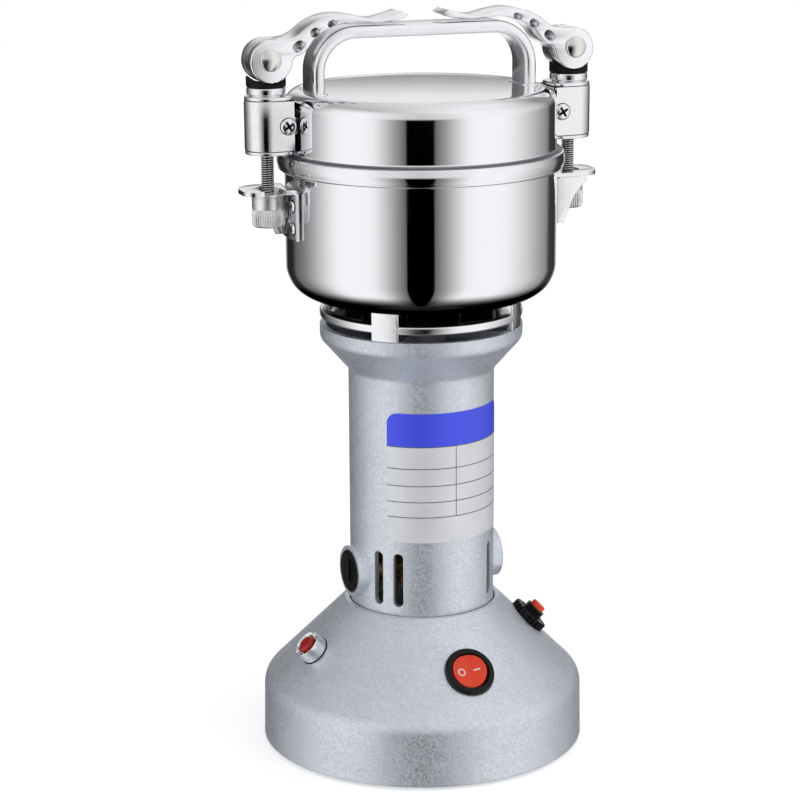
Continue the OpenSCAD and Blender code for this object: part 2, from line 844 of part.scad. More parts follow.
module cooling_fan() {
  z = collar_top + fan_gap;
  h = bowl_z - fan_top_gap - z;
  root = middle(shaft_r, fan_hub_r);
  color(black) difference() {
    translate([0, 0, z]) union() {
      cylinder(r = fan_r, h = fan_disc_t);
      cylinder(r = fan_hub_r, h = h);
      for (i = [0:fan_count - 1]) rotate([0, 0, i * full_turn / fan_count])
        translate([root, -fan_blade_t / 2, 0]) cube([fan_r - fan_blade_inset - root, fan_blade_t, h]);
    }
    translate([0, 0, z - over]) cylinder(r = shaft_r + seat_gap, h = h + 2 * over);
  }
}

// Grinding chamber
module shaft_seal() {
  color(black) difference() {
    translate([0, 0, bowl_z - seal_under]) union() {
      cylinder(r = seal_hole_r - seat_gap, h = seal_under + sheet_t + seal_flange_t);
      translate([0, 0, seal_under + sheet_t]) cylinder(r = seal_flange_r, h = seal_flange_t);
    }
    translate([0, 0, bowl_z - seal_under - over])
      cylinder(r = shaft_r + run_gap, h = seal_under + sheet_t + seal_flange_t + 2 * over);
  }
}

module blade_bore(z) {
  translate([0, 0, z - over]) cylinder(r = thread_r + seat_gap, h = spacer_h + 2 * over);
}

module lower_blade() {
  color(polished) difference() {
    translate([0, 0, lower_blade_z]) linear_extrude(blade_t) union() for (turn = [0, half_turn]) rotate(turn)
      polygon([[-over, -blade_w / 2], [blade_reach - blade_w, -blade_w / 2],
        [blade_reach, blade_cut - blade_w / 2], [blade_reach - blade_cut, blade_w / 2],
        [-over, blade_w / 2]]);
    blade_bore(lower_blade_z);
  }
}

module upper_blade() {
  reach = blade_reach - upper_inset;
  side = smooth([[0, 0], [reach - upper_tip_w, 0], [reach, upper_tip_h]], [0, upper_bend, 0]);
  color(polished) translate([0, 0, upper_blade_z]) difference() {
    rotate([0, 0, right_angle]) for (turn = [0, half_turn]) rotate([0, 0, turn])
      translate([0, blade_w / 2, 0]) rotate([right_angle, 0, 0]) linear_extrude(blade_w)
        polygon(sheet(side, blade_t));
    blade_bore(0);
  }
}

module blade_spacer() {
  color(steel) translate([0, 0, spacer_z]) ring(spacer_r, thread_r + seat_gap, spacer_h);
}

module blade_nut() {
  color(steel) translate([0, 0, blade_nut_z]) difference() {
    cylinder(r = blade_nut_r, h = blade_nut_h, $fn = hex_sides);
    translate([0, 0, -over]) cylinder(r = thread_r + seat_gap, h = blade_nut_h + 2 * over);
  }
}

module bowl() {
  wall = smooth(
    [[seal_hole_r, bowl_z], [bowl_r, bowl_z], [bowl_r, band_z], [band_r, band_z], [band_r, rim_z]],
    [0, bowl_bend, shelf_in_bend, band_bend, 0]);
  color(polished) difference() {
    revolve(sheet(wall, sheet_t));
    for (turn = quarter) round_motor(turn, post_at) translate([0, 0, bowl_z]) screw_hole(sheet_t);
    at_latches() for (drop = rivet_drops) rivet_place(drop)
      translate([0, 0, -bracket_t - sheet_t - over])
        cylinder(r = rivet_r + seat_gap, h = bracket_t + sheet_t + over);
  }
}

module bowl_screws() {
  length = bowl_screw_bite - tip_gap + (bowl_z - collar_top) + sheet_t;
  color(steel) for (turn = quarter) round_motor(turn, post_at)
    translate([0, 0, chamber_floor - length]) pan_screw(length);
}

// Lid
module lid_shell() {
  wall = smooth(
    [[flare_lid_r, lid_foot], [flare_lid_r, lid_foot + flare_lid_h],
     [lid_r, lid_foot + flare_lid_h + flare_lid_rise], [lid_r, lid_top], [0, lid_top]],
    [0, flare_lid_bend, flare_lid_bend, lid_bend, 0]);
  color(polished) difference() {
    revolve(sheet(wall, sheet_t));
    at_handle_screws() translate([0, 0, lid_top - sheet_t]) screw_hole(sheet_t);
  }
}

module lid_gasket() {
  color(silicone) translate([0, 0, band_z + sheet_t + seat_gap])
    ring(band_in_r - gasket_inset, band_in_r - gasket_inset - gasket_w, gasket_h - seat_gap);
}

module at_handle_screws() {
  for (x = [-1, 1], y = [-1, 1])
    translate([x * (handle_reach - handle_t / 2), y * handle_screw_y, 0]) children();
}

module handle() {
  bow = smooth(
    [[handle_reach, lid_top], [handle_reach, handle_top],
     [-handle_reach, handle_top], [-handle_reach, lid_top]],
    [0, handle_bend, handle_bend, 0]);
  color(polished) difference() {
    translate([0, handle_w / 2, 0]) rotate([right_angle, 0, 0]) linear_extrude(handle_w)
      polygon(sheet(bow, handle_t));
    at_handle_screws() translate([0, 0, lid_top]) screw_hole(handle_bite - tip_gap);
  }
}

module handle_screws() {
  length = sheet_t + handle_bite - tip_gap;
  color(steel) at_handle_screws() translate([0, 0, lid_top - sheet_t + length]) mirror([0, 0, 1])
    pan_screw(length);
}

// Latches: each piece is drawn for the right side and turned half round for the left one
module at_latches() {
  for (turn = [0, half_turn]) rotate([0, 0, turn]) children();
}

module left() {
  rotate([0, 0, half_turn]) children();
}

module across(x, z) {
  translate([x, 0, z]) rotate([right_angle, 0, 0]) children();
}

module latch_lugs() {
  width = sleeve_r - sleeve_t - move_gap;
  color(steel) at_latches() difference() {
    union() {
      across(pivot_x, pivot_z) translate([0, 0, -width]) cylinder(r = nose_r, h = 2 * width);
      translate([lid_r - sheet_t, -width, pivot_z - nose_r])
        cube([pivot_x - lid_r + sheet_t, 2 * width, 2 * nose_r]);
    }
    across(pivot_x, pivot_z) translate([0, 0, -width - over])
      cylinder(r = hinge_r + run_gap, h = 2 * (width + over));
    translate([0, 0, rim_z]) cylinder(r = lid_r, h = lid_h);
  }
}

module sleeve_outline(r) {
  translate([latch_x, 0]) circle(r = r);
  translate([sleeve_end, -r]) square([latch_x - sleeve_end, 2 * r]);
}

module sleeve() {
  color(steel) difference() {
    translate([0, 0, sleeve_z]) linear_extrude(sleeve_h) difference() {
      sleeve_outline(sleeve_r);
      sleeve_outline(sleeve_r - sleeve_t);
      translate([lid_r - over, -sleeve_r + sleeve_t]) square([pivot_inset, 2 * (sleeve_r - sleeve_t)]);
    }
    across(pivot_x, pivot_z) translate([0, 0, -sleeve_r - over])
      cylinder(r = hinge_r + seat_gap, h = 2 * (sleeve_r + over));
  }
}

module hinge_screws() {
  color(steel) for (side = [-1, 1]) across(pivot_x, pivot_z) scale([1, 1, side]) {
    translate([0, 0, hinge_screw_gap]) cylinder(r = hinge_r, h = sleeve_r - hinge_screw_gap);
    translate([0, 0, sleeve_r])
      cylinder(r1 = hinge_head_r, r2 = hinge_head_r - hinge_head_h / 2, h = hinge_head_h);
  }
}

module washers() {
  color(steel) {
    for (z = [sleeve_z - washer_t, sleeve_top]) translate([0, 0, z]) difference() {
      linear_extrude(washer_t) {
        translate([latch_x, 0]) circle(r = washer_r);
        polygon(smooth([[latch_x, washer_r], [lid_r, washer_r], [lid_r, -washer_r], [latch_x, -washer_r]],
          [0, washer_bend, washer_bend, 0]));
      }
      translate([latch_x, 0, -over]) cylinder(r = rod_r + run_gap, h = washer_t + 2 * over);
      translate([0, 0, -over]) cylinder(r = lid_r + washer_clear, h = washer_t + 2 * over);
    }
    translate([latch_x, 0, washer_top]) ring(ring_r - ring_step, rod_r + run_gap, ring_gap);
    translate([latch_x, 0, ring_z]) ring(ring_r, rod_r + run_gap, ring_h);
  }
}

module saddle_pad() {
  saddle_r = cam_r + saddle_gap + saddle_rise;
  color(black) difference() {
    translate([latch_x, 0, pad_z]) ring(pad_r, rod_r + run_gap, pad_side_h);
    across(latch_x, pin_z + saddle_rise) translate([0, 0, -pad_r - over])
      cylinder(r = saddle_r, h = 2 * (pad_r + over));
  }
}

module tie_rod() {
  color(nickel) difference() {
    union() {
      translate([latch_x, 0, nut_z + rod_foot]) cylinder(r = rod_r, h = pin_z - nut_z - rod_foot);
      across(latch_x, pin_z) translate([0, 0, -eye_w / 2]) cylinder(r = eye_r, h = eye_w);
    }
    across(latch_x, pin_z) translate([0, 0, -eye_w]) cylinder(r = pin_r + run_gap, h = 2 * eye_w);
  }
}

// The cam's radius falls evenly as the lever opens, from the arc that rests on the pad
function cam_at(a) = cam_r - cam_drop * min(max(a, 0) / cam_fall, 1);
cam_path = [for (a = [cam_from:cam_step:cam_to]) cam_at(a) * [-sin(a), -cos(a)]];

module lever_outline() {
  size = [lever_reach, lever_rise];
  arm = concat(curve([for (p = top_shares) [p.x * size.x, p.y * size.y]]),
    curve([for (p = under_shares) [p.x * size.x, p.y * size.y]]),
    [for (p = notch_shares) [p.x * size.x, p.y * size.y]], [[0, 0]]);
  polygon(cam_path);
  difference() {
    polygon(arm);
    for (i = [0:len(hole_shares) - 1])
      translate([hole_shares[i].x * size.x, hole_shares[i].y * size.y]) rotate(hole_tilts[i])
        lever_hole(hole_size_shares[i] * lever_reach);
  }
}

module lever_hole(half) {
  for (side = [-1, 1]) translate([side * (half.x - half.y), 0]) circle(r = half.y);
  square([2 * (half.x - half.y), 2 * half.y], center = true);
}

module lever() {
  color(polished) difference() {
    translate([latch_x, lever_w / 2, pin_z]) rotate([right_angle, 0, 0]) linear_extrude(lever_w)
      mirror([1, 0]) lever_outline();
    across(latch_x, pin_z) translate([0, 0, -lever_w]) cylinder(r = pin_r + seat_gap, h = 2 * lever_w);
    across(latch_x, pin_z) translate([0, 0, -fork_w / 2]) cylinder(r = eye_r + 2 * move_gap, h = fork_w);
    translate([latch_x - rod_r - 2 * move_gap, -fork_w / 2, pin_z - 2 * cam_r])
      cube([2 * cam_r, fork_w, 4 * cam_r]);
  }
}

module lever_pin() {
  head_at = lever_w / 2;
  dome_r = (pin_head_r * pin_head_r + pin_dome * pin_dome) / (2 * pin_dome);
  color(nickel) across(latch_x, pin_z) {
    translate([0, 0, -head_at]) cylinder(r = pin_r, h = 2 * head_at);
    for (side = [-1, 1]) scale([1, 1, side]) translate([0, 0, head_at]) intersection() {
      cylinder(r = pin_head_r, h = pin_head_h + pin_dome);
      translate([0, 0, pin_head_h + pin_dome - dome_r]) sphere(r = dome_r);
    }
  }
}

module thumb_nut() {
  neck_h = nut_h - nut_rib_h - nut_flare_h;
  color(steel) translate([latch_x, 0, nut_z]) difference() {
    union() {
      linear_extrude(nut_rib_h) polygon([for (i = [0:2 * nut_ribs - 1]) let(a = i * half_turn / nut_ribs)
        (nut_r - (i % 2) * nut_rib_depth) * [cos(a), sin(a)]]);
      translate([0, 0, nut_rib_h]) cylinder(r = nut_r + nut_lip, h = neck_h);
      translate([0, 0, nut_rib_h + neck_h])
        cylinder(r1 = nut_r + nut_lip, r2 = nut_r + nut_flare, h = nut_flare_h);
    }
    translate([0, 0, -over]) cylinder(r = rod_r + run_gap, h = nut_h + 2 * over);
  }
}

module rivet_place(drop) {
  rotate([0, 0, rivet_turn]) translate([bowl_r + bracket_t, 0, flange_z - drop]) rotate([0, right_angle, 0])
    children();
}

// The bracket's slot runs round the mill's axis, so turning the lid takes the rod out of its open end
module rod_slot() {
  translate([middle(slot_in_r, slot_out_r), 0]) circle(r = (slot_out_r - slot_in_r) / 2);
  intersection() {
    difference() {
      circle(r = slot_out_r);
      circle(r = slot_in_r);
    }
    square([bracket_tip, bracket_tip]);
  }
}

module latch_brackets() {
  back = bowl_r - leg_back;
  outline = smooth(
    [[back, -bracket_hw], [bracket_tip, -bracket_hw], [bracket_tip, bracket_hw], [back, bracket_hw]],
    [0, bracket_hw, bracket_bend, 0]);
  edge = [for (p = gusset_shares) [bowl_r + p.x * gusset_w, flange_z - p.y * leg_h]];
  rib = concat([[back, flange_z + bracket_t / 2], [edge[0].x, flange_z + bracket_t / 2]], curve(edge),
    [[back, flange_z - leg_h]]);
  color(steel) at_latches() difference() {
    union() {
      translate([0, 0, flange_z]) linear_extrude(bracket_t) difference() {
        polygon(outline);
        rod_slot();
      }
      translate([0, 0, flange_z - leg_h]) linear_extrude(leg_h + bracket_t / 2) intersection() {
        circle(r = bowl_r + bracket_t);
        translate([back, -bracket_hw]) square([bracket_tip, 2 * bracket_hw]);
      }
      translate([0, -bracket_hw + bracket_t, 0]) rotate([right_angle, 0, 0]) linear_extrude(bracket_t)
        polygon(rib);
    }
    cylinder(r = bowl_r + seat_gap, h = band_z);
    for (drop = rivet_drops) rivet_place(drop) translate([0, 0, -2 * bracket_t])
      cylinder(r = rivet_r + seat_gap, h = 2 * bracket_t + over);
  }
}

module bracket_screws() {
  color(steel) at_latches() for (drop = rivet_drops) rivet_place(drop) {
    translate([0, 0, -bracket_t - sheet_t]) cylinder(r = rivet_r, h = bracket_t + sheet_t);
    cylinder(r1 = rivet_head_r, r2 = rivet_head_r - rivet_head_h / 2, h = rivet_head_h);
  }
}

// Switch, lamp, reset switch and cord gland
module switch_housing() {
  color(black) on_cone(switch_turn, switch_at) difference() {
    union() {
      translate([0, 0, -bezel_seat]) cylinder(r = switch_r, h = bezel_seat + bezel_h);
      translate([0, 0, -barrel_h]) cylinder(r = barrel_r, h = barrel_h);
      for (side = [-1, 1]) translate([side * tab_at - tab_w / 2, -tab_t / 2, -barrel_h - tab_h])
        cube([tab_w, tab_t, tab_h + over]);
    }
    translate([0, 0, -cavity_depth]) cylinder(r = rocker_r + rocker_gap, h = cavity_depth + bezel_h + over);
    translate([0, 0, rocker_axis]) rotate([right_angle, 0, 0]) translate([0, 0, -barrel_r])
      cylinder(r = trunnion_r + run_gap, h = 2 * barrel_r);
  }
}

module switch_rocker() {
  color(red) on_cone(switch_turn, switch_at) translate([0, 0, rocker_axis]) rotate([0, -rocker_tilt, 0]) {
    difference() {
      revolve([[0, -rocker_depth], [rocker_r - rocker_taper, -rocker_depth], [rocker_r, rocker_waist],
        [rocker_r - rocker_taper, rocker_top], [0, rocker_top]]);
      translate([0, rocker_r + over, 0]) rotate([right_angle, 0, 0]) linear_extrude(2 * (rocker_r + over))
        polygon([[-rocker_r, rocker_top + over], [0, rocker_top - rocker_dip],
          [rocker_r, rocker_top + over]]);
    }
    rotate([right_angle, 0, 0]) translate([0, 0, -barrel_r + seat_gap])
      cylinder(r = trunnion_r, h = 2 * (barrel_r - seat_gap));
  }
}

module lamp_bezel() {
  color(polished) on_cone(lamp_turn, lamp_at) difference() {
    union() {
      translate([0, 0, -lamp_seat]) cylinder(r = lamp_r, h = lamp_seat + lamp_h);
      translate([0, 0, -lamp_barrel_h]) cylinder(r = lamp_barrel_r, h = lamp_barrel_h);
    }
    translate([0, 0, lens_floor]) cylinder(r = lens_r + seat_gap, h = lamp_h);
  }
}

module lamp_lens() {
  dome_r = (lens_r * lens_r + lens_dome * lens_dome) / (2 * lens_dome);
  color(red) on_cone(lamp_turn, lamp_at) intersection() {
    translate([0, 0, lens_floor]) cylinder(r = lens_r, h = lamp_h);
    translate([0, 0, lamp_h + lens_dome - dome_r]) sphere(r = dome_r);
  }
}

module reset_breaker() {
  reset_floor = cast_wall + reset_seat;
  color(black) on_cone(reset_turn, reset_at) difference() {
    union() {
      translate([0, 0, -reset_floor]) cylinder(r = reset_neck_r, h = reset_floor + reset_neck_h);
      translate([-breaker_w / 2, -breaker_out, -reset_floor - breaker_h])
        cube([breaker_w, breaker_out + reset_neck_r, breaker_h]);
    }
    translate([0, 0, reset_neck_h + button_proud - reset_travel - button_depth - 2 * over])
      cylinder(r = button_r + run_gap, h = button_depth + reset_travel + 3 * over);
  }
}

module reset_nut() {
  color(black) on_cone(reset_turn, reset_at) translate([0, 0, -reset_seat])
    ring(reset_nut_r, reset_neck_r + seat_gap, reset_seat + reset_nut_h);
}

module reset_button() {
  color(red) on_cone(reset_turn, reset_at) translate([0, 0, reset_neck_h + button_proud - button_depth])
    cylinder(r = button_r, h = button_depth);
}

module cord_gland() {
  color(black) on_cone(gland_turn, gland_at) difference() {
    union() {
      translate([0, 0, -gland_seat]) cylinder(r = gland_r, h = gland_seat + gland_flange_h);
      translate([0, 0, gland_flange_h])
        cylinder(r1 = gland_r - gland_step, r2 = gland_nose_r, h = gland_nose_h);
      translate([0, 0, -gland_tail_h]) cylinder(r = gland_tail_r, h = gland_tail_h);
    }
    translate([0, 0, -gland_tail_h - over])
      cylinder(r = gland_bore_r, h = gland_tail_h + gland_flange_h + gland_nose_h + 2 * over);
  }
}

module left_sleeve() { left() sleeve(); }
module left_hinge_screws() { left() hinge_screws(); }
module left_washers() { left() washers(); }
module left_saddle_pad() { left() saddle_pad(); }
module left_tie_rod() { left() tie_rod(); }
module left_lever() { left() lever(); }
module left_lever_pin() { left() lever_pin(); }
module left_thumb_nut() { left() thumb_nut(); }
module right_sleeve() { sleeve(); }
module right_hinge_screws() { hinge_screws(); }
module right_washers() { washers(); }
module right_saddle_pad() { saddle_pad(); }
module right_tie_rod() { tie_rod(); }
module right_lever() { lever(); }
module right_lever_pin() { lever_pin(); }
module right_thumb_nut() { thumb_nut(); }

base_shell();
base_plate();
rubber_feet();
plate_screws();
motor_housing();
housing_screws();
vent_ring();
rating_label();
brush_holders();
carbon_brushes();
brush_springs();
brush_caps();
stator_core();
field_coils();
upper_bearing();
lower_bearing();
bearing_bridge();
shaft_seal();
switch_housing();
switch_rocker();
lamp_bezel();
lamp_lens();
reset_breaker();
reset_nut();
reset_button();
cord_gland();
bowl();
bowl_screws();
latch_brackets();
bracket_screws();
lid_shell();
lid_gasket();
handle();
handle_screws();
latch_lugs();
rotor_shaft();
armature_core();
armature_windings();
commutator();
cooling_fan();
lower_blade();
upper_blade();
blade_spacer();
blade_nut();
left_sleeve();
left_hinge_screws();
left_washers();
left_saddle_pad();
left_tie_rod();
left_lever();
left_lever_pin();
left_thumb_nut();
right_sleeve();
right_hinge_screws();
right_washers();
right_saddle_pad();
right_tie_rod();
right_lever();
right_lever_pin();
right_thumb_nut();
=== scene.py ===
import json
import math

import bmesh
import bpy
from mathutils import Matrix, Vector


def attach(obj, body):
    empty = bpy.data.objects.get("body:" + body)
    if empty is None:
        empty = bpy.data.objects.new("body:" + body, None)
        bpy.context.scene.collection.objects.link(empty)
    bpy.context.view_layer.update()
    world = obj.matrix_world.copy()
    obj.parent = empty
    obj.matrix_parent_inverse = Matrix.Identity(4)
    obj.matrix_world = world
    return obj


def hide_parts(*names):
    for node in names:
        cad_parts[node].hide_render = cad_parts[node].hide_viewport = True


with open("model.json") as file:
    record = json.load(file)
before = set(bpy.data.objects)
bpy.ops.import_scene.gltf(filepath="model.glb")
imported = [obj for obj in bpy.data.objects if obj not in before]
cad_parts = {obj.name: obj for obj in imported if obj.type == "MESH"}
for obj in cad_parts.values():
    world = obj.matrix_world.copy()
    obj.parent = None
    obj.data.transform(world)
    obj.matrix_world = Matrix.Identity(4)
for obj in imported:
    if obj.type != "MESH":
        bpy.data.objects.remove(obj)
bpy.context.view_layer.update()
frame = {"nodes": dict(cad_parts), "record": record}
nodes_of = frame["nodes"]

# Lengths below are in millimetres and become metres through mm.
MM = 0.001


def mm(*values):
    return Vector([v * MM for v in values])


# Heights (Z, TOP, FOOT, LOW, HIGH) and distances from an axis (R, X) that the part's source gives, and how far
# the motor is turned on its base, in degrees.
BOWL_Z = 212
BAND_Z = 270.4
RIM_Z = 278.3
LID_FOOT = 273.7
LID_TOP = 305.9
HANDLE_TOP = 334.9
BOWL_R = 61.4
BAND_R = 64.9
LID_R = 61.2
LATCH_X = 71.8
PIVOT_X = 64.8
PIVOT_Z = 292.8
SLEEVE_Z = 281.8
SLEEVE_TOP = 303.8
RING_Z = 306.1
PAD_Z = 309.5
PIN_Z = 321.5
NUT_Z = 247.55
FLANGE_Z = 262.8
COLLAR_TOP = 198.8
RIB_Z = 202.3
BRUSH_Z = 83.8
NECK_Z = 67.5
MOTOR_TURN = 4.5
MOTOR_R = 33.5
CAM_R = 10.3
LABEL_LOW = 102.9
LABEL_HIGH = 163.4

# The plate's print: its lines' heights, the foot of its blue head, and the angle of its upright line.
LABEL_LINES = (147.9, 137.7, 129.7, 122.1, 114.9)
LABEL_HEAD = 148.1
LABEL_UPRIGHT = 0.134

# Painted shade: the bowl's steel is painted dark between these heights, at its foot over the vent ring's gap.
FOOT_PAINTED_SHADE_FROM = 222.5
FOOT_PAINTED_SHADE_TO = 217.5

# Where the fittings stand on the base's cone: degrees round from the motor's front, and the distance from
# its axis.
LAMP = (-87.5, 55.5)
RESET = (72.5, 50.0)
SWITCH = (-2, 56.0)

# The camera stands where the photograph was taken from, on the left of the mill's front.
CAMERA_AZIMUTH = math.radians(-20)
CAMERA_BACK = 1099.57
CAMERA_HEIGHT = 444.34
CAMERA_PITCH = 0.25176
CAMERA_YAW = -0.008945
CAMERA_ROLL = -0.00533
CAMERA_LENS = 110.75


def add_camera():
    data = bpy.data.cameras.new("camera")
    data.lens = CAMERA_LENS
    data.sensor_width = 36
    data.clip_start = 0.05
    data.clip_end = 50
    camera = bpy.data.objects.new("camera", data)
    bpy.context.scene.collection.objects.link(camera)
    around = Matrix.Rotation(CAMERA_AZIMUTH, 4, "Z")
    place = Matrix.Translation(mm(0, -CAMERA_BACK, CAMERA_HEIGHT))
    turn = Matrix.Rotation(-CAMERA_YAW, 4, "Z") @ Matrix.Rotation(math.pi / 2 - CAMERA_PITCH, 4, "X")
    camera.matrix_world = around @ place @ turn @ Matrix.Rotation(CAMERA_ROLL, 4, "Z")
    bpy.context.scene.camera = camera


class Nodes:
    """A node tree with short ways to add and join nodes."""

    def __init__(self, tree):
        self.tree = tree
        tree.nodes.clear()

    def add(self, kind, inputs=(), **settings):
        node = self.tree.nodes.new(kind)
        for name, value in settings.items():
            setattr(node, name, value)
        for socket, value in dict(inputs).items():
            self.put(node.inputs[socket], value)
        return node

    def put(self, socket, value):
        if isinstance(value, bpy.types.NodeSocket):
            self.tree.links.new(value, socket)
        else:
            socket.default_value = value

    def math(self, operation, *values):
        node = self.add("ShaderNodeMath", operation=operation)
        for socket, value in zip(node.inputs, values):
            self.put(socket, value)
        return node.outputs[0]

    def between(self, value, low, high, smooth=True, to=(0.0, 1.0)):
        """How far the value has come from low to high, as a number from to[0] to to[1]."""
        node = self.add("ShaderNodeMapRange", {"Value": value, "From Min": low, "From Max": high,
                                               "To Min": to[0], "To Max": to[1]})
        node.interpolation_type = "SMOOTHSTEP" if smooth else "LINEAR"
        return node.outputs[0]

    def ramp(self, value, stops):
        """Colours, or levels of grey, at places from 0 to 1."""
        node = self.add("ShaderNodeValToRGB", {"Fac": value})
        band = node.color_ramp
        while len(band.elements) < len(stops):
            band.elements.new(0.5)
        for element, (at, colour) in zip(band.elements, stops):
            element.position = at
            level = colour if isinstance(colour, (tuple, list)) else (colour, colour, colour)
            element.color = (*level, 1)
        return node.outputs["Color"]

    def mix(self, factor, a, b):
        node = self.add("ShaderNodeMix", data_type="RGBA")
        for name, value in (("Factor_Float", factor), ("A_Color", a), ("B_Color", b)):
            socket = next(s for s in node.inputs if s.identifier == name)
            if not isinstance(value, (bpy.types.NodeSocket, float, int)) and len(value) == 3:
                value = (*value, 1)
            self.put(socket, value)
        return next(s for s in node.outputs if s.identifier == "Result_Color")


# The studio: brightness of the surroundings by the angle round the mill, in degrees from the camera's side, for
# low directions and for high ones.
LOW_PROFILE = [(0, 0.0), (11.2, 0.0), (12, 0.13), (21, 0.35), (30, 0.64), (39, 0.92), (47, 1.0), (70, 1.0),
               (80, 0.93), (90, 0.80), (103, 0.62), (117, 0.42), (132, 0.26), (139, 0.05), (156, 0.03),
               (164, 0.40), (172, 0.95), (180, 1.0)]
HIGH_PROFILE = [(0, 0.62), (25, 0.78), (47, 1.0), (80, 0.95), (117, 0.6), (135, 0.3), (152, 0.3), (166, 0.8),
                (180, 0.85)]
BLACK = (0.0, 0.0, 0.0)
# Lifts are in degrees over the horizon. The low profile gives way to the high one, and that to the ceiling.
PROFILE_LIFTS = (-4.0, 10.0)
CEILING_LIFTS = (28.0, 60.0)
# The ceiling is darker over the left, by the direction's part across the picture.
CEILING_ACROSS = (-0.8, 0.4)
CEILING_LEVELS = [(0, 0.4), (1, 0.92)]
# A dark strip behind the mill, just over the horizon; shares are of the half turn from the camera's side.
STRIP_RISES = (-3.0, 1.0)
STRIP_FALLS = (9.0, 5.0)
STRIP_SHARES = (0.84, 0.95)
STRIP_DARK = 0.62
# The left side is darker, but not right behind the mill; angles are in radians from the camera's side.
LEFT_GROWS = (-1.2, -2.2)
LEFT_FADES = (-3.1, -2.6)
LEFT_DARK = 0.5
# The room is darker towards the floor.
FLOOR_LIFTS = (-42.0, -75.0)
FLOOR_DARK = 0.68


def add_world():
    """Light from all round as in the photo; the camera itself sees plain white."""
    world = bpy.data.worlds.new("studio")
    world.use_nodes = True
    bpy.context.scene.world = world
    t = Nodes(world.node_tree)
    coord = t.add("ShaderNodeTexCoord").outputs["Generated"]
    turned = t.add("ShaderNodeVectorRotate", {"Vector": coord, "Angle": -CAMERA_AZIMUTH},
                   rotation_type="Z_AXIS")
    axes = t.add("ShaderNodeSeparateXYZ", {"Vector": turned.outputs[0]}).outputs
    off = t.math("ARCTAN2", axes[0], t.math("MULTIPLY", axes[1], -1.0))
    share = t.math("DIVIDE", t.math("ABSOLUTE", off), math.pi)
    lift = t.math("MULTIPLY", t.math("ARCSINE", axes[2]), 180 / math.pi)
    low = t.ramp(share, [(a / 180, v) for a, v in LOW_PROFILE])
    high = t.ramp(share, [(a / 180, v) for a, v in HIGH_PROFILE])
    wall = t.mix(t.between(lift, *PROFILE_LIFTS), low, high)
    strip = t.math("MULTIPLY", t.between(lift, *STRIP_RISES), t.between(lift, *STRIP_FALLS))
    strip = t.math("MULTIPLY", strip, t.between(share, *STRIP_SHARES))
    wall = t.mix(t.math("MULTIPLY", strip, STRIP_DARK), wall, BLACK)
    left = t.math("MULTIPLY", t.between(off, *LEFT_GROWS, to=(0.0, LEFT_DARK)), t.between(off, *LEFT_FADES))
    wall = t.mix(left, wall, BLACK)
    ceiling = t.ramp(t.between(axes[0], *CEILING_ACROSS, smooth=False), CEILING_LEVELS)
    room = t.mix(t.between(lift, *CEILING_LIFTS), wall, ceiling)
    light = t.mix(t.between(lift, *FLOOR_LIFTS, to=(0.0, FLOOR_DARK)), room, BLACK)
    seen = t.add("ShaderNodeLightPath").outputs["Is Camera Ray"]
    shown = t.mix(seen, light, (1.0, 1.0, 1.0))
    back = t.add("ShaderNodeBackground", {"Color": shown, "Strength": 1.0})
    out = t.add("ShaderNodeOutputWorld")
    t.tree.links.new(back.outputs[0], out.inputs["Surface"])


def add_floor():
    """A white floor, which the mill's steel doesn't mirror."""
    mesh = bpy.data.meshes.new("floor")
    half = 3.0
    corners = [(-half, -half, 0), (half, -half, 0), (half, half, 0), (-half, half, 0)]
    mesh.from_pydata(corners, [], [(0, 1, 2, 3)])
    floor = bpy.data.objects.new("floor", mesh)
    bpy.context.scene.collection.objects.link(floor)
    floor.visible_glossy = False
    paint = bpy.data.materials.new("floor")
    paint.use_nodes = True
    t = Nodes(paint.node_tree)
    skin = t.add("ShaderNodeBsdfPrincipled", {"Base Color": (0.95, 0.95, 0.95, 1), "Roughness": 0.9,
                                              "Emission Color": (1, 1, 1, 1), "Emission Strength": 0.42})
    out = t.add("ShaderNodeOutputMaterial")
    t.tree.links.new(skin.outputs[0], out.inputs["Surface"])
    mesh.materials.append(paint)


MATERIALS = {}


def surface(name, colour, roughness, metallic=0.0, dress=None, **sockets):
    """A principled material; dress adds nodes that vary its colour, roughness and relief."""
    made = bpy.data.materials.new(name)
    made.use_nodes = True
    t = Nodes(made.node_tree)
    skin = t.add("ShaderNodeBsdfPrincipled", {"Base Color": (*colour, 1), "Roughness": roughness,
                                              "Metallic": metallic})
    for socket, value in sockets.items():
        skin.inputs[socket.replace("_", " ")].default_value = value
    if dress:
        dress(t, skin, colour, roughness)
    out = t.add("ShaderNodeOutputMaterial")
    t.tree.links.new(skin.outputs[0], out.inputs["Surface"])
    MATERIALS[name] = made


def place(t):
    """The place on the piece, in metres, which moves with it."""
    return t.add("ShaderNodeTexCoord").outputs["Object"]


def place_axes(t):
    return t.add("ShaderNodeSeparateXYZ", {"Vector": place(t)}).outputs


def noise(t, scale, detail=2.0, stretch=None):
    where = place(t)
    if stretch:
        where = t.add("ShaderNodeMapping", {"Vector": where, "Scale": stretch}).outputs[0]
    return t.add("ShaderNodeTexNoise", {"Vector": where, "Scale": scale, "Detail": detail}).outputs["Fac"]


def relief(t, skin, height, depth, strength=1.0):
    bump = t.add("ShaderNodeBump", {"Height": height, "Distance": depth, "Strength": strength})
    t.tree.links.new(bump.outputs[0], skin.inputs["Normal"])


def shades(t, factor, colour, spread):
    """The colour from darker to lighter as the factor runs from 0.3 to 0.7."""
    dark = tuple(c * (1 - spread) for c in colour)
    light = tuple(min(c * (1 + spread), 1) for c in colour)
    return t.ramp(factor, [(0.3, dark), (0.7, light)])


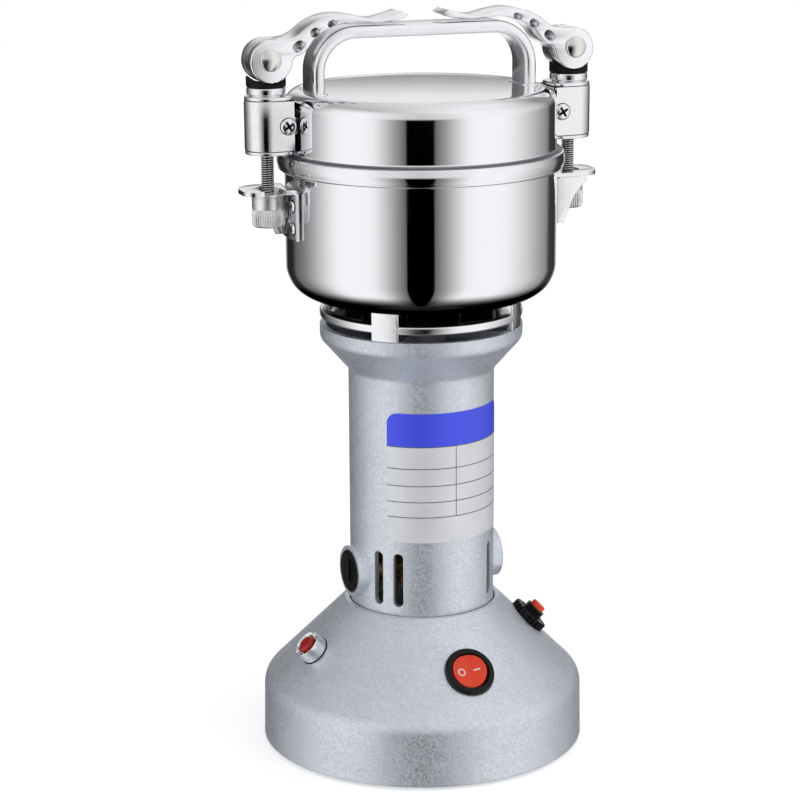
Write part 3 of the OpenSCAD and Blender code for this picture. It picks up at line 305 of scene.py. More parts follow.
def hammertone(t, skin, colour, roughness):
    """Cast metal under a grained silver paint, its edges rounded a little."""
    cells = t.add("ShaderNodeTexVoronoi", {"Vector": place(t), "Scale": 1500.0})
    spark = t.add("ShaderNodeSeparateColor", {"Color": cells.outputs["Color"]}).outputs[0]
    cloud = noise(t, 60.0, 3.0)
    grain = noise(t, 900.0, 2.0)
    mixed = t.math("ADD", t.math("MULTIPLY", grain, 0.7), t.math("MULTIPLY", cloud, 0.3))
    t.put(skin.inputs["Base Color"], shades(t, mixed, colour, 0.12))
    t.put(skin.inputs["Roughness"], t.between(spark, 0.0, 1.0, to=(roughness - 0.10, roughness + 0.10)))
    lumps = t.math("ADD", t.math("MULTIPLY", cells.outputs["Distance"], 0.4), grain)
    soft = t.add("ShaderNodeBevel", {"Radius": 0.0009}, samples=4).outputs[0]
    bump = t.add("ShaderNodeBump", {"Height": lumps, "Distance": 0.0001, "Strength": 0.6, "Normal": soft})
    t.tree.links.new(bump.outputs[0], skin.inputs["Normal"])


def mirror(t, skin, colour, roughness):
    """Pressed sheet, polished: a mirror with a faint wave in it."""
    t.put(skin.inputs["Roughness"], t.between(noise(t, 40.0, 4.0), 0.3, 0.7,
                                              to=(roughness, roughness + 0.03)))
    relief(t, skin, noise(t, 9.0, 1.0), 0.0006, 0.5)


def mirror_with_painted_shade_at_foot(t, skin, colour, roughness):
    """A mirror with painted shade at the bowl's foot: its colour and specular tint are painted dark where it
    faces the gap over the vent ring.
    """
    mirror(t, skin, colour, roughness)
    height = t.math("MULTIPLY", place_axes(t)[2], 1 / MM)
    # painted shade: colour and specular tint darken towards the bowl's foot
    low = t.between(height, FOOT_PAINTED_SHADE_FROM, FOOT_PAINTED_SHADE_TO)
    t.put(skin.inputs["Base Color"], t.mix(low, colour, tuple(c * 0.04 for c in colour)))
    t.put(skin.inputs["Specular Tint"], t.mix(low, (1.0, 1.0, 1.0), (0.1, 0.1, 0.1)))


def polished(t, skin, colour, roughness):
    """Small polished parts: a mirror with uneven sheen."""
    t.put(skin.inputs["Roughness"], t.between(noise(t, 150.0, 3.0), 0.3, 0.7,
                                              to=(roughness - 0.04, roughness + 0.06)))
    relief(t, skin, noise(t, 300.0, 3.0), 0.00005, 0.4)


def turned_steel(t, skin, colour, roughness):
    """Fine level marks, as a lathe leaves them."""
    t.put(skin.inputs["Base Color"], shades(t, noise(t, 220.0, 3.0, (1, 1, 6)), colour, 0.06))
    t.put(skin.inputs["Roughness"], t.between(noise(t, 400.0, 2.0, (1, 1, 8)), 0.3, 0.7,
                                              to=(roughness - 0.06, roughness + 0.08)))


def moulded(t, skin, colour, roughness):
    """Plastic or rubber with a very fine grain."""
    t.put(skin.inputs["Roughness"], t.between(noise(t, 500.0, 3.0), 0.3, 0.7,
                                              to=(roughness - 0.05, roughness + 0.08)))
    relief(t, skin, noise(t, 1800.0, 2.0), 0.00004, 0.5)


def threads_with_painted_shade(t, skin, colour, roughness):
    """Painted shade in the thread: bright crests and hollows painted dark, by the distance from the tie rod's
    middle.
    """
    axes = place_axes(t)
    across = t.math("SUBTRACT", t.math("ABSOLUTE", axes[0]), LATCH_X * MM)
    radius = t.math("SQRT", t.math("ADD", t.math("POWER", across, 2.0), t.math("POWER", axes[1], 2.0)))
    hollow_r, crest_r = 2.4, 2.95
    crest = t.between(radius, hollow_r * MM, crest_r * MM, smooth=False)
    # painted shade: the hollows are painted at 3% of the colour and the flanks at 35%
    stops = [(at, tuple(c * level for c in colour)) for at, level in ((0.0, 0.03), (0.5, 0.35), (1.0, 1))]
    t.put(skin.inputs["Base Color"], t.ramp(crest, stops))
    t.put(skin.inputs["Roughness"], t.between(noise(t, 400.0), 0.3, 0.7,
                                              to=(roughness - 0.05, roughness + 0.06)))


def layered(t, skin, colour, roughness):
    """Stacked sheets or windings: fine level lines."""
    lines = t.add("ShaderNodeTexWave", {"Vector": place(t), "Scale": 320.0, "Distortion": 0.2},
                  bands_direction="Z")
    t.put(skin.inputs["Base Color"], shades(t, lines.outputs["Fac"], colour, 0.35))
    relief(t, skin, lines.outputs["Fac"], 0.0002, 0.6)


def ruled(t, skin, colour, roughness):
    """The plate's blue head and its empty lines."""
    ink, blue, half, half_angle = (0.12, 0.12, 0.13), (0.055, 0.085, 0.85), 0.22, 0.006
    axes = place_axes(t)
    height = t.math("MULTIPLY", axes[2], 1 / MM)
    angle = t.math("ARCTAN2", axes[0], t.math("MULTIPLY", axes[1], -1.0))
    upright = t.math("LESS_THAN", t.math("ABSOLUTE", t.math("SUBTRACT", angle, LABEL_UPRIGHT)), half_angle)
    lines = t.math("MULTIPLY", upright, t.math("GREATER_THAN", height, LABEL_LINES[-1]))
    for z in LABEL_LINES:
        level = t.math("LESS_THAN", t.math("ABSOLUTE", t.math("SUBTRACT", height, z)), half)
        lines = t.math("MAXIMUM", lines, level)
    body = t.mix(lines, shades(t, noise(t, 60.0), colour, 0.05), ink)
    t.put(skin.inputs["Base Color"], t.mix(t.math("GREATER_THAN", height, LABEL_HEAD), body, blue))


def add_materials():
    surface("hammertone", (0.76, 0.80, 0.87), 0.5, 0.88, hammertone)
    surface("mirror_steel", (0.90, 0.90, 0.93), 0.035, 1.0, mirror_with_painted_shade_at_foot)
    surface("polished_aluminium", (0.92, 0.925, 0.95), 0.2, 1.0, polished)
    surface("bright_steel", (0.87, 0.875, 0.895), 0.14, 1.0, polished)
    surface("nickel", (0.80, 0.78, 0.75), 0.17, 1.0, threads_with_painted_shade)
    surface("knurled_zinc", (0.93, 0.94, 0.96), 0.38, 1.0, turned_steel)
    surface("machine_steel", (0.62, 0.63, 0.64), 0.3, 1.0, turned_steel)
    surface("blade_steel", (0.80, 0.81, 0.82), 0.18, 1.0, turned_steel)
    surface("cast_alloy", (0.55, 0.56, 0.57), 0.5, 1.0, turned_steel)
    surface("lamination_steel", (0.22, 0.23, 0.25), 0.45, 0.9, layered)
    surface("copper", (0.62, 0.27, 0.12), 0.32, 1.0, layered)
    surface("brass", (0.75, 0.55, 0.24), 0.3, 1.0, turned_steel)
    surface("carbon", (0.03, 0.03, 0.032), 0.55, 0.0, moulded)
    surface("black_plastic", (0.005, 0.005, 0.006), 0.3, 0.0, moulded, Specular_IOR_Level=0.22)
    surface("black_rubber", (0.004, 0.004, 0.004), 0.5, 0.0, moulded, Specular_IOR_Level=0.2)
    surface("white_silicone", (0.8, 0.8, 0.78), 0.5, 0.0, moulded)
    surface("red_plastic", (0.80, 0.045, 0.008), 0.25, 0.0, moulded)
    surface("white_print", (0.86, 0.80, 0.78), 0.45, 0.0, moulded)
    surface("red_lens", (0.36, 0.006, 0.004), 0.08, 0.0, moulded)
    surface("chrome", (0.80, 0.81, 0.83), 0.08, 1.0, mirror)
    surface("label_film", (0.70, 0.71, 0.735), 0.35, 0.2, ruled)


BODY_OF = {node: body for body, members in frame["record"]["behaviour"]["bodies"].items()
           for node in members}
SLOT_OF = {s["node"]: s["material_slot"] for s in frame["record"]["subparts"]}


def dress_cad_nodes():
    """Each CAD node that stays takes the material of its record slot."""
    for name, piece in nodes_of.items():
        made = MATERIALS[SLOT_OF[name]]
        if not piece.data.materials:
            piece.data.materials.append(made)
        for i in range(len(piece.material_slots)):
            piece.material_slots[i].material = made


class Shape:
    """Points in millimetres and the faces between them."""

    def __init__(self, points=(), faces=()):
        self.points = [Vector(p) for p in points]
        self.faces = [tuple(f) for f in faces]

    def joined(self, *others):
        whole = Shape(self.points, self.faces)
        for other in others:
            start = len(whole.points)
            whole.points += other.points
            whole.faces += [tuple(i + start for i in f) for f in other.faces]
        return whole

    def moved(self, matrix):
        return Shape([matrix @ p for p in self.points], self.faces)

    def shifted(self, x, y, z):
        return self.moved(Matrix.Translation((x, y, z)))

    def turned(self, degrees, axis="Z"):
        return self.moved(Matrix.Rotation(math.radians(degrees), 4, axis))


def rounded(path, bends, steps=8):
    """A closed path with its corners rounded to the given radii."""
    out = []
    for i, bend in enumerate(bends):
        corner = Vector(path[i])
        if not bend:
            out.append(tuple(corner))
            continue
        u = (Vector(path[i - 1]) - corner).normalized()
        v = (Vector(path[(i + 1) % len(path)]) - corner).normalized()
        half = math.acos(max(-1, min(1, u.dot(v)))) / 2
        middle = corner + (u + v).normalized() * bend / math.sin(half)
        start = corner + u * bend / math.tan(half) - middle
        sweep = math.copysign(math.pi - 2 * half, v.x * u.y - v.y * u.x)
        for k in range(steps + 1):
            a = sweep * k / steps
            out.append((middle.x + start.x * math.cos(a) - start.y * math.sin(a),
                        middle.y + start.x * math.sin(a) + start.y * math.cos(a)))
    return out


def arc(x, y, r, start, end, steps=24):
    """Points on a circle round (x, y), from one angle to the other in degrees."""
    return [(x + r * math.cos(math.radians(start + (end - start) * k / steps)),
             y + r * math.sin(math.radians(start + (end - start) * k / steps))) for k in range(steps + 1)]


def lathe(path, segments=256, start=0.0, angle=360.0, radius=None):
    """A closed path of (radius, height) points swept round z; radius may change it point by point."""
    whole = angle == 360.0
    count = segments if whole else segments + 1
    points, faces, n = [], [], len(path)
    for j in range(count):
        a = math.radians(start + angle * j / segments)
        for i, (r, z) in enumerate(path):
            at = radius(i, r, a) if radius else r
            points.append((at * math.cos(a), at * math.sin(a), z))
    for j in range(segments):
        k = (j + 1) % count
        for i in range(n):
            m = (i + 1) % n
            faces.append((j * n + i, k * n + i, k * n + m, j * n + m))
    if not whole:
        faces += [tuple(range(n)), tuple(range((count - 1) * n, count * n))]
    return Shape(points, faces)


def prism(outline, low, high):
    """An outline in x and y, drawn out along z."""
    n = len(outline)
    points = [(x, y, z) for z in (low, high) for x, y in outline]
    faces = [tuple(range(n)), tuple(range(n, 2 * n))]
    faces += [(i, (i + 1) % n, n + (i + 1) % n, n + i) for i in range(n)]
    return Shape(points, faces)


def block(x, y, z):
    """A box between the given pairs of x, y and z."""
    return prism([(x[0], y[0]), (x[1], y[0]), (x[1], y[1]), (x[0], y[1])], *z)


def sweep(section, path, across):
    """A closed section carried along an open path; across is the direction that the section's y follows."""
    points, faces, n = [], [], len(section)
    for i, p in enumerate(path):
        along = (path[min(i + 1, len(path) - 1)] - path[max(i - 1, 0)]).normalized()
        side = along.cross(across)
        points += [p + side * s + across * t for s, t in section]
    for i in range(len(path) - 1):
        for j in range(n):
            k = (j + 1) % n
            faces.append((i * n + j, i * n + k, (i + 1) * n + k, (i + 1) * n + j))
    faces += [tuple(range(n)), tuple(range((len(path) - 1) * n, len(path) * n))]
    return Shape(points, faces)


def mesh_of(name, shape):
    """A mesh in metres with its double points joined and its faces turned outwards."""
    made = bpy.data.meshes.new(name)
    made.from_pydata([p * MM for p in shape.points], [], shape.faces)
    work = bmesh.new()
    work.from_mesh(made)
    bmesh.ops.remove_doubles(work, verts=work.verts, dist=0.0005 * MM)
    bmesh.ops.recalc_face_normals(work, faces=work.faces)
    work.to_mesh(made)
    work.free()
    return made


def new_object(name, shape):
    made = bpy.data.objects.new(name, mesh_of(name, shape))
    bpy.context.scene.collection.objects.link(made)
    return made


def bake(obj):
    """Puts what the object's modifiers make into its mesh."""
    graph = bpy.context.evaluated_depsgraph_get()
    old, name = obj.data, obj.data.name
    made = bpy.data.meshes.new_from_object(obj.evaluated_get(graph))
    obj.modifiers.clear()
    obj.data = made
    bpy.data.meshes.remove(old)
    made.name = name
    return obj


def carve(obj, tool, operation="DIFFERENCE"):
    """Cuts the tool's shape from the object, or joins or keeps what both share."""
    cutter = new_object("cutter", tool)
    boolean = obj.modifiers.new("carve", "BOOLEAN")
    boolean.operation = operation
    boolean.solver = "EXACT"
    boolean.object = cutter
    bake(obj)
    bpy.data.objects.remove(cutter)
    return obj


def soften(obj, width, segments=3, angle=32):
    """Rounds the object's sharp edges."""
    bevel = obj.modifiers.new("soften", "BEVEL")
    bevel.width = width * MM
    bevel.segments = segments
    bevel.limit_method = "ANGLE"
    bevel.angle_limit = math.radians(angle)
    bevel.use_clamp_overlap = True
    return bake(obj)


def shape_of(obj):
    """The object's mesh as a shape again, in millimetres; the object goes."""
    made = Shape([v.co / MM for v in obj.data.vertices], [tuple(p.vertices) for p in obj.data.polygons])
    bpy.data.objects.remove(obj)
    return made


def plate(outline, thickness, edge, holes=()):
    """A flat shape with rounded edges and holes, its outline in x and y, its middle at z = 0."""
    flat = bpy.data.curves.new("plate", "CURVE")
    flat.dimensions = "2D"
    flat.fill_mode = "BOTH"
    flat.extrude = thickness / 2 - edge
    flat.bevel_depth = edge
    flat.bevel_resolution = 2
    flat.offset = -edge
    for loop in (outline, *holes):
        line = flat.splines.new("POLY")
        line.points.add(len(loop) - 1)
        for point, (x, y) in zip(line.points, loop):
            point.co = (x, y, 0, 1)
        line.use_cyclic_u = True
    holder = bpy.data.objects.new("plate", flat)
    bpy.context.scene.collection.objects.link(holder)
    graph = bpy.context.evaluated_depsgraph_get()
    filled = bpy.data.meshes.new_from_object(holder.evaluated_get(graph))
    made = Shape([v.co for v in filled.vertices], [tuple(p.vertices) for p in filled.polygons])
    bpy.data.objects.remove(holder)
    bpy.data.meshes.remove(filled)
    bpy.data.curves.remove(flat)
    return made


def finish(obj, material, sharp=30):
    """Gives a piece its material and smooth shading, with its edges sharp from the given angle."""
    obj.data.materials.clear()
    obj.data.materials.append(MATERIALS[material])
    obj.data.shade_smooth()
    obj.data.set_sharp_from_angle(angle=math.radians(sharp))


def stands_for(obj, *nodes, sharp=30):
    """Finishes a piece: it takes the place of the nodes, with their body and slot."""
    slot = SLOT_OF[nodes[0]]
    finish(obj, slot, sharp)
    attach(obj, BODY_OF[nodes[0]])
    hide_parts(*nodes)


def rides_with(obj, node, slot):
    """Finishes a small piece that the part's source doesn't hold: it moves with the node's body."""
    finish(obj, slot)
    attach(obj, BODY_OF[node])


def on_both_sides(make, *suffixes, **settings):
    """Makes a piece of the right-hand latch, and the same turned half round for the left-hand one."""
    right = make()
    left_mesh = right.data.copy()
    left_mesh.transform(Matrix.Rotation(math.pi, 4, "Z"))
    left = bpy.data.objects.new(right.name.replace("right", "left"), left_mesh)
    bpy.context.scene.collection.objects.link(left)
    for obj, side in ((right, "right"), (left, "left")):
        stands_for(obj, *[f"{side}_{s}" for s in suffixes], **settings)


def add_bowl():
    """The bowl, open round the shaft, with the bulged band and the rolled lip at its mouth."""
    sheet, corner, hole, bulge, roll = 1.5, 15, 9, 7.4, 0.75
    mouth = BAND_R - 1.9
    outer = rounded([(hole, BOWL_Z), (BOWL_R, BOWL_Z), (BOWL_R, BAND_Z), (BAND_R - 0.5, BAND_Z),
                     (BAND_R - 0.45, BAND_Z + 1.7)], [0, corner, 0.6, 1.3, 0], 14)
    band = arc(BAND_R - bulge, (BAND_Z + RIM_Z) / 2, bulge, -17, 17, 12)
    lip = arc(mouth + roll, RIM_Z - roll, roll, 10, 170, 10)
    inner = rounded([(mouth, RIM_Z - 1), (mouth, BAND_Z + sheet), (BOWL_R - sheet, BAND_Z + sheet),
                     (BOWL_R - sheet, BOWL_Z + sheet), (hole, BOWL_Z + sheet)],
                    [0, 0.5, 0.5, corner - sheet, 0], 12)
    stands_for(new_object("grinding_bowl", lathe(outer + band + lip + inner)), "bowl")


def add_lid():
    """The lid: its foot flares over the bowl's lip, and a crease runs round the slightly domed disc."""
    sheet, foot, shoulder, disc_r, disc_drop, rise = 1.5, 62.9, 6.9, 52.6, 0.47, 0.45
    under = LID_TOP - 1.6
    outer = rounded([(foot, LID_FOOT), (foot, LID_FOOT + 4), (LID_R, LID_FOOT + 5.7), (LID_R, LID_TOP),
                     (54.0, LID_TOP)], [0.4, 2, 2, shoulder, 0], 12)
    crease = [(53.75, LID_TOP - 0.1), (53.5, LID_TOP - 0.42), (53.1, LID_TOP - 0.5),
              (disc_r, LID_TOP - disc_drop)]
    disc = [(r, LID_TOP - disc_drop + rise * (1 - (r / disc_r) ** 2)) for r in range(48, -1, -6)]
    inside = rounded([(50, under), (LID_R - sheet, under), (LID_R - sheet, LID_FOOT + 5.2),
                      (foot - sheet, LID_FOOT + 3.2), (foot - sheet, LID_FOOT)],
                     [0, shoulder - sheet, 1, 1, 0.4])
    inside = [(0, under)] + inside
    stands_for(new_object("domed_lid", lathe(outer + crease + disc + inside)), "lid_shell", sharp=40)


def add_painted_seam_shade():
    """Painted shade: a thin dark ring put in the gap between the lid's edge and the bowl's rim, where shade
    falls.
    """
    inside, outside, slant, thick = 61.5, 63.2, 1.05, 0.15
    gap = [(inside, RIM_Z + slant), (outside, RIM_Z), (outside, RIM_Z + thick),
           (inside, RIM_Z + slant + thick)]
    # a dark sheet on the lamination_steel material, standing for the shade in the gap
    rides_with(new_object("lid_seam_painted_shade", lathe(gap)), "lid_shell", "lamination_steel")


def rectangle(x, y, bend):
    """A rectangle from -x to x and -y to y with rounded corners."""
    return rounded([(-x, -y), (x, -y), (x, y), (-x, y)], [bend] * 4, 6)


def add_handle():
    """A strap with round edges, bent over the lid, on a bead at each foot."""
    thin, half, edge = 2.8, 9, 2.1
    reach, bend, top, foot = 52.7 - thin, 20 - thin, HANDLE_TOP - thin, LID_TOP - 0.6
    track = [(-reach, foot)] + arc(-reach + bend, top - bend, bend, 180, 90, 20)
    track += arc(reach - bend, top - bend, bend, 90, 0, 20) + [(reach, foot)]
    path = [Vector((x, 0, z)) for x, z in track]
    whole = sweep(rectangle(thin, half, edge), path, Vector((0, 1, 0)))
    bead = plate(rectangle(4.1, 10.2, 3.2), 0.9, 0.42)
    for side in (-1, 1):
        whole = whole.joined(bead.shifted(side * reach, 0, LID_TOP - 0.35))
    stands_for(new_object("carry_handle", whole), "handle")


def painted_shadow_cross(r, h):
    """Painted shadow: dark pieces in a cross head's recess and round its edge."""
    arm, half, heights = r * 0.66, r * 0.15, (h * 0.3, h * 0.62)
    bars = block((-arm, arm), (-half, half), heights).joined(block((-half, half), (-arm, arm), heights))
    inner, outer, low, high = r - 0.3, r + 0.32, 0.02, 0.14
    return bars.joined(lathe([(inner, low), (outer, low), (outer, high), (inner, high)], 48))


def pan_head(r, h):
    """A domed screw head with a cross in it, its seat at z = 0."""
    dome = [(r * out, h * up) for out, up in ((1, 0.3), (0.93, 0.55), (0.75, 0.82), (0.45, 0.96), (0, 1))]
    head = new_object("head", lathe([(0, -0.3), (r, -0.3)] + dome, 48))
    arm, half, heights = r * 0.68, r * 0.17, (h * 0.25, h + 1)
    carve(head, block((-arm, arm), (-half, half), heights))
    carve(head, block((-half, half), (-arm, arm), heights))
    return shape_of(head)


def outwards(shape, side):
    """Turns a shape that stands on z so that it stands out of the latch's front (-1) or back (1)."""
    return shape.turned(90 if side < 0 else -90, "X")


# The latch's sleeve and its hinge screws, in millimetres and degrees.
SLEEVE_R = 9.9
SCREW_HEAD = (3.6, 1.5)
SCREW_TURN = 31


def make_sleeve():
    """The bent sheet round the tie rod, open towards the lid."""
    inner, end, edge = 8.1, 62.0, 0.4
    outline = [(end, -SLEEVE_R)] + arc(LATCH_X, 0, SLEEVE_R, -90, 90, 48) + [(end, SLEEVE_R), (end, inner)]
    outline += arc(LATCH_X, 0, inner, 90, -90, 40) + [(end, -inner)]
    bent = plate(outline, SLEEVE_TOP - SLEEVE_Z, edge)
    return new_object("right_latch_sleeve", bent.shifted(0, 0, (SLEEVE_Z + SLEEVE_TOP) / 2))


def make_hinge_screws():
    shank_r, shank_from, shank_to = 1.6, 0.5, 9.8
    head = pan_head(*SCREW_HEAD).turned(SCREW_TURN)
    shank = lathe([(0, shank_from), (shank_r, shank_from), (shank_r, shank_to), (0, shank_to)], 32)
    screws = Shape()
    for side in (-1, 1):
        screws = screws.joined(outwards(head, side).shifted(PIVOT_X, side * SLEEVE_R, PIVOT_Z),
                               outwards(shank, side).shifted(PIVOT_X, 0, PIVOT_Z))
    return new_object("right_cross_screws", screws)


def add_latch_shadows():
    """Painted shadows: the dark crosses in the hinge screws' recesses and the dark lines at the sleeve's ends,
    one piece a latch.
    """
    line_r, line_end, bore = 9.65, 61.85, 4
    cross = painted_shadow_cross(*SCREW_HEAD).turned(SCREW_TURN)
    # painted shadow lines where the sleeve meets its end plates
    outline = arc(LATCH_X, 0, line_r, -90, 90, 48) + [(line_end, line_r), (line_end, -line_r)]
    line = plate(outline, 0.6, 0.05, [arc(LATCH_X, 0, bore, 0, 345, 23)])
    both = line.shifted(0, 0, SLEEVE_Z).joined(line.shifted(0, 0, SLEEVE_TOP))
    for side in (-1, 1):
        both = both.joined(outwards(cross, side).shifted(PIVOT_X, side * SLEEVE_R, PIVOT_Z))
    for turn, name in ((0, "right"), (180, "left")):
        shadows = new_object(name + "_latch_shadows", both.turned(turn))
        rides_with(shadows, name + "_hinge_screws", "black_rubber")


def make_end_plates():
    """The plates under and over the sleeve, and the stepped ring under the pad."""
    half, end, start, thick, bore = 9.7, 61.9, LATCH_X - 1, 1.8, 3.2
    outline = arc(LATCH_X, 0, half, -90, 90, 48)
    outline += rounded([(start, half), (end, half), (end, -half), (start, -half)], [0, 4, 4, 0])
    flat = plate(outline, thick, 0.5, [arc(LATCH_X, 0, bore, 0, 345, 23)])
    both = flat.shifted(0, 0, SLEEVE_Z - thick / 2).joined(flat.shifted(0, 0, SLEEVE_TOP + thick / 2))
    ring_bore, step_r, ring_r, low = 3.1, 7.65, 8.65, RING_Z - 0.5
    ring = rounded([(ring_bore, low), (step_r, low), (step_r, RING_Z), (ring_r, RING_Z), (ring_r, PAD_Z),
                    (ring_bore, PAD_Z)], [0, 0, 0, 0.7, 0.7, 0], 6)
    return new_object("right_end_plates", both.joined(lathe(ring, 128).shifted(LATCH_X, 0, 0)))


def make_pad():
    """The rubber pad, hollowed on top for the lever's cam."""
    gap, lift, height, bore = 0.25, 1.2, 5.4, 3.1
    saddle, top, axis = CAM_R + gap + lift, PAD_Z + height, PIN_Z + lift

    def seat(x):
        return min(top, axis - math.sqrt(max(saddle * saddle - x * x, 0)))

    # Each level is a radius and a height, and says whether the height is one below the seat.
    levels = [(bore, PAD_Z, 0), (8.3, PAD_Z, 0), (8.8, PAD_Z + 0.5, 0), (8.8, 0.5, 1), (8.65, 0.15, 1),
              (8.3, 0, 1), (6.5, 0, 1), (4.8, 0, 1), (bore, 0, 1)]
    points, faces, n, count = [], [], len(levels), 128
    for j in range(count):
        a = 2 * math.pi * j / count
        for r, z, below in levels:
            x = r * math.cos(a)
            points.append((LATCH_X + x, r * math.sin(a), seat(x) - z if below else z))
        for i in range(n):
            k, m = (j + 1) % count, (i + 1) % n
            faces.append((j * n + i, k * n + i, k * n + m, j * n + m))
    return new_object("right_rubber_saddle", Shape(points, faces))


def make_tie_rod():
    """The rod with its M6 thread, which fades out inside the sleeve, and the eye for the lever's pin."""
    low, fade, high, rows, around = NUT_Z + 1, 286.0, PIN_Z - 4, 9, 40
    rod_r, thread_depth, eye_bore, eye_r, eye_half, eye_edge = 3.0, 0.62, 2.65, 5.6, 3, 0.7
    points, faces = [], []
    levels = [low + k / rows for k in range(int((fade - low) * rows))] + [fade + 0.5, high]
    for z in levels:
        deep = thread_depth * max(0, min(1, fade - z)) * min(1, (z - low) * 1.5)
        for j in range(around):
            a = 2 * math.pi * j / around
            flank = abs(2 * ((z - a / (2 * math.pi)) % 1.0) - 1)
            r = rod_r - deep * min(1, max(0, (flank - 0.2) * 1.5))
            points.append((r * math.cos(a), r * math.sin(a), z))
    for i in range(len(levels) - 1):
        for j in range(around):
            k = (j + 1) % around
            faces.append((i * around + j, i * around + k, (i + 1) * around + k, (i + 1) * around + j))
    faces += [tuple(range(around)), tuple(range((len(levels) - 1) * around, len(levels) * around))]
    eye = lathe(rounded([(eye_bore, -eye_half), (eye_r, -eye_half), (eye_r, eye_half), (eye_bore, eye_half)],
                        [0, eye_edge, eye_edge, 0], 5), 96)
    rod = Shape(points, faces).joined(eye.turned(90, "X").shifted(0, 0, PIN_Z))
    return new_object("right_threaded_rod", rod.shifted(LATCH_X, 0, 0))


# The lever's outline in shares of its reach and rise, from the pin to the tip, as in the part's source.
LEVER_TOP = [(0.008, 0.466), (0.11, 0.455), (0.189, 0.529), (0.276, 0.772), (0.378, 0.942), (0.504, 1),
             (0.63, 0.931), (0.756, 0.825), (0.866, 0.91), (0.96, 1)]
LEVER_UNDER = [(1, 0.921), (0.97, 0.825), (0.898, 0.794), (0.787, 0.757), (0.661, 0.794), (0.535, 0.799),
               (0.417, 0.667), (0.323, 0.497), (0.265, 0.19), (0.214, 0.079)]
LEVER_NOTCH = [(0.214, 0.079), (0.19, 0.079), (0.16, -0.04), (0.158, -0.1)]
# Each hole's place, half its length, half its width and its tilt in degrees.
LEVER_HOLES = [(0.2, 0.3, 0.046, 0.033, 38), (0.32, 0.6, 0.038, 0.03, 34), (0.444, 0.785, 0.034, 0.023, 20)]


def curve_through(points, steps):
    """A smooth line from the first point to the last, which the points between pull towards them."""
    out = [points[0]]
    for p, q, r in zip(points, points[1:], points[2:]):
        a = ((p[0] + q[0]) / 2, (p[1] + q[1]) / 2)
        c = ((q[0] + r[0]) / 2, (q[1] + r[1]) / 2)
        for k in range(steps):
            t = k / steps
            out.append(tuple(a[i] * (1 - t) ** 2 + q[i] * 2 * t * (1 - t) + c[i] * t * t for i in (0, 1)))
    return out + [points[-1]]


def make_lever():
    """The lever on its cam, with three holes through it and a slot for the tie rod's eye."""
    reach, rise, wide, cam_ease = 63.5, 18.9, 16, 1.5

    def scaled(points):
        return [(x * reach, y * rise) for x, y in points]

    def cam(a):
        r = CAM_R - cam_ease * min(max(a, 0) / 100, 1)
        return (-r * math.sin(math.radians(a)), -r * math.cos(math.radians(a)))

    top = curve_through(scaled(LEVER_TOP), 6)
    under = curve_through(scaled(LEVER_UNDER), 6)
    notch = rounded(scaled(LEVER_NOTCH), [0, 1, 0.5, 0], 5)[1:-1]
    outline = top + under + notch + [cam(a) for a in range(-80, 178, 4)]
    stand = Matrix.Translation((LATCH_X, 0, PIN_Z)) @ Matrix.Rotation(math.pi / 2, 4, "X")
    stand = stand @ Matrix.Scale(-1, 4, (1, 0, 0))
    lever = new_object("right_clamp_lever", plate(outline, wide, 0.9).moved(stand))
    for x, y, along, over, tilt in LEVER_HOLES:
        middle, end = (along - over) * reach, over * reach
        loop = arc(middle, 0, end, -90, 90, 12) + arc(-middle, 0, end, 90, 270, 12)
        hole = prism(loop, -9, 9).turned(tilt).shifted(x * reach, y * rise, 0)
        carve(lever, hole.moved(stand))
    slot_r, slot_side, slot_half, far = 6.6, -4.0, 3.3, 20
    turn = math.degrees(math.acos(slot_side / slot_r))
    slot = [(far, -far), (far, far), (slot_side, far)] + arc(0, 0, slot_r, turn, 360 - turn, 36)
    slot = prism(slot + [(slot_side, -far)], -slot_half, slot_half)
    carve(lever, slot.turned(90, "X").shifted(LATCH_X, 0, PIN_Z))
    return soften(lever, 0.45, 3, 45)


def make_lever_pin():
    """A pin with a domed head on each end."""
    pin_r, half, head_r, ball, sunk = 2.6, 8, 4.8, 8.93, 6.53
    dome = [(r, math.sqrt(ball ** 2 - r * r) - sunk) for r in (4.6, 4.2, 3.6, 2.9, 2.1, 1.2, 0)]
    head = lathe([(0, -0.3), (head_r, -0.3), (head_r, 0.75), (4.74, 0.95)] + dome, 64)
    shank = lathe([(0, -half), (pin_r, -half), (pin_r, half), (0, half)], 48)
    pin = outwards(shank, 1).shifted(LATCH_X, 0, PIN_Z)
    for side in (-1, 1):
        pin = pin.joined(outwards(head, side).shifted(LATCH_X, side * half, PIN_Z))
    return new_object("right_domed_pin", pin)


def make_thumb_nut():
    """Chamfered at its foot, finely ribbed below, a smooth band above it and a flared lip."""
    ribs, rib_depth, ribbed_points = 40, 0.45, (4, 5, 6)
    path = [(3.1, 0.3), (3.5, 0), (6.2, 0), (6.75, 0.45), (7.3, 1.0), (7.3, 4), (7.3, 7.3), (7.0, 8.0),
            (7.15, 8.3), (7.2, 8.6), (7.2, 12.8), (7.35, 13.2), (7.8, 14.2), (8.0, 14.75), (7.95, 15.05),
            (7.7, 15.2), (3.6, 15.2), (3.1, 14.8)]

    def ribbed(i, r, a):
        return r - (rib_depth * (0.5 + 0.5 * math.cos(a * ribs)) ** 1.5 if i in ribbed_points else 0)

    body = lathe(path, ribs * 8, radius=ribbed).shifted(LATCH_X, 0, NUT_Z)
    return new_object("right_knurled_nut", body)


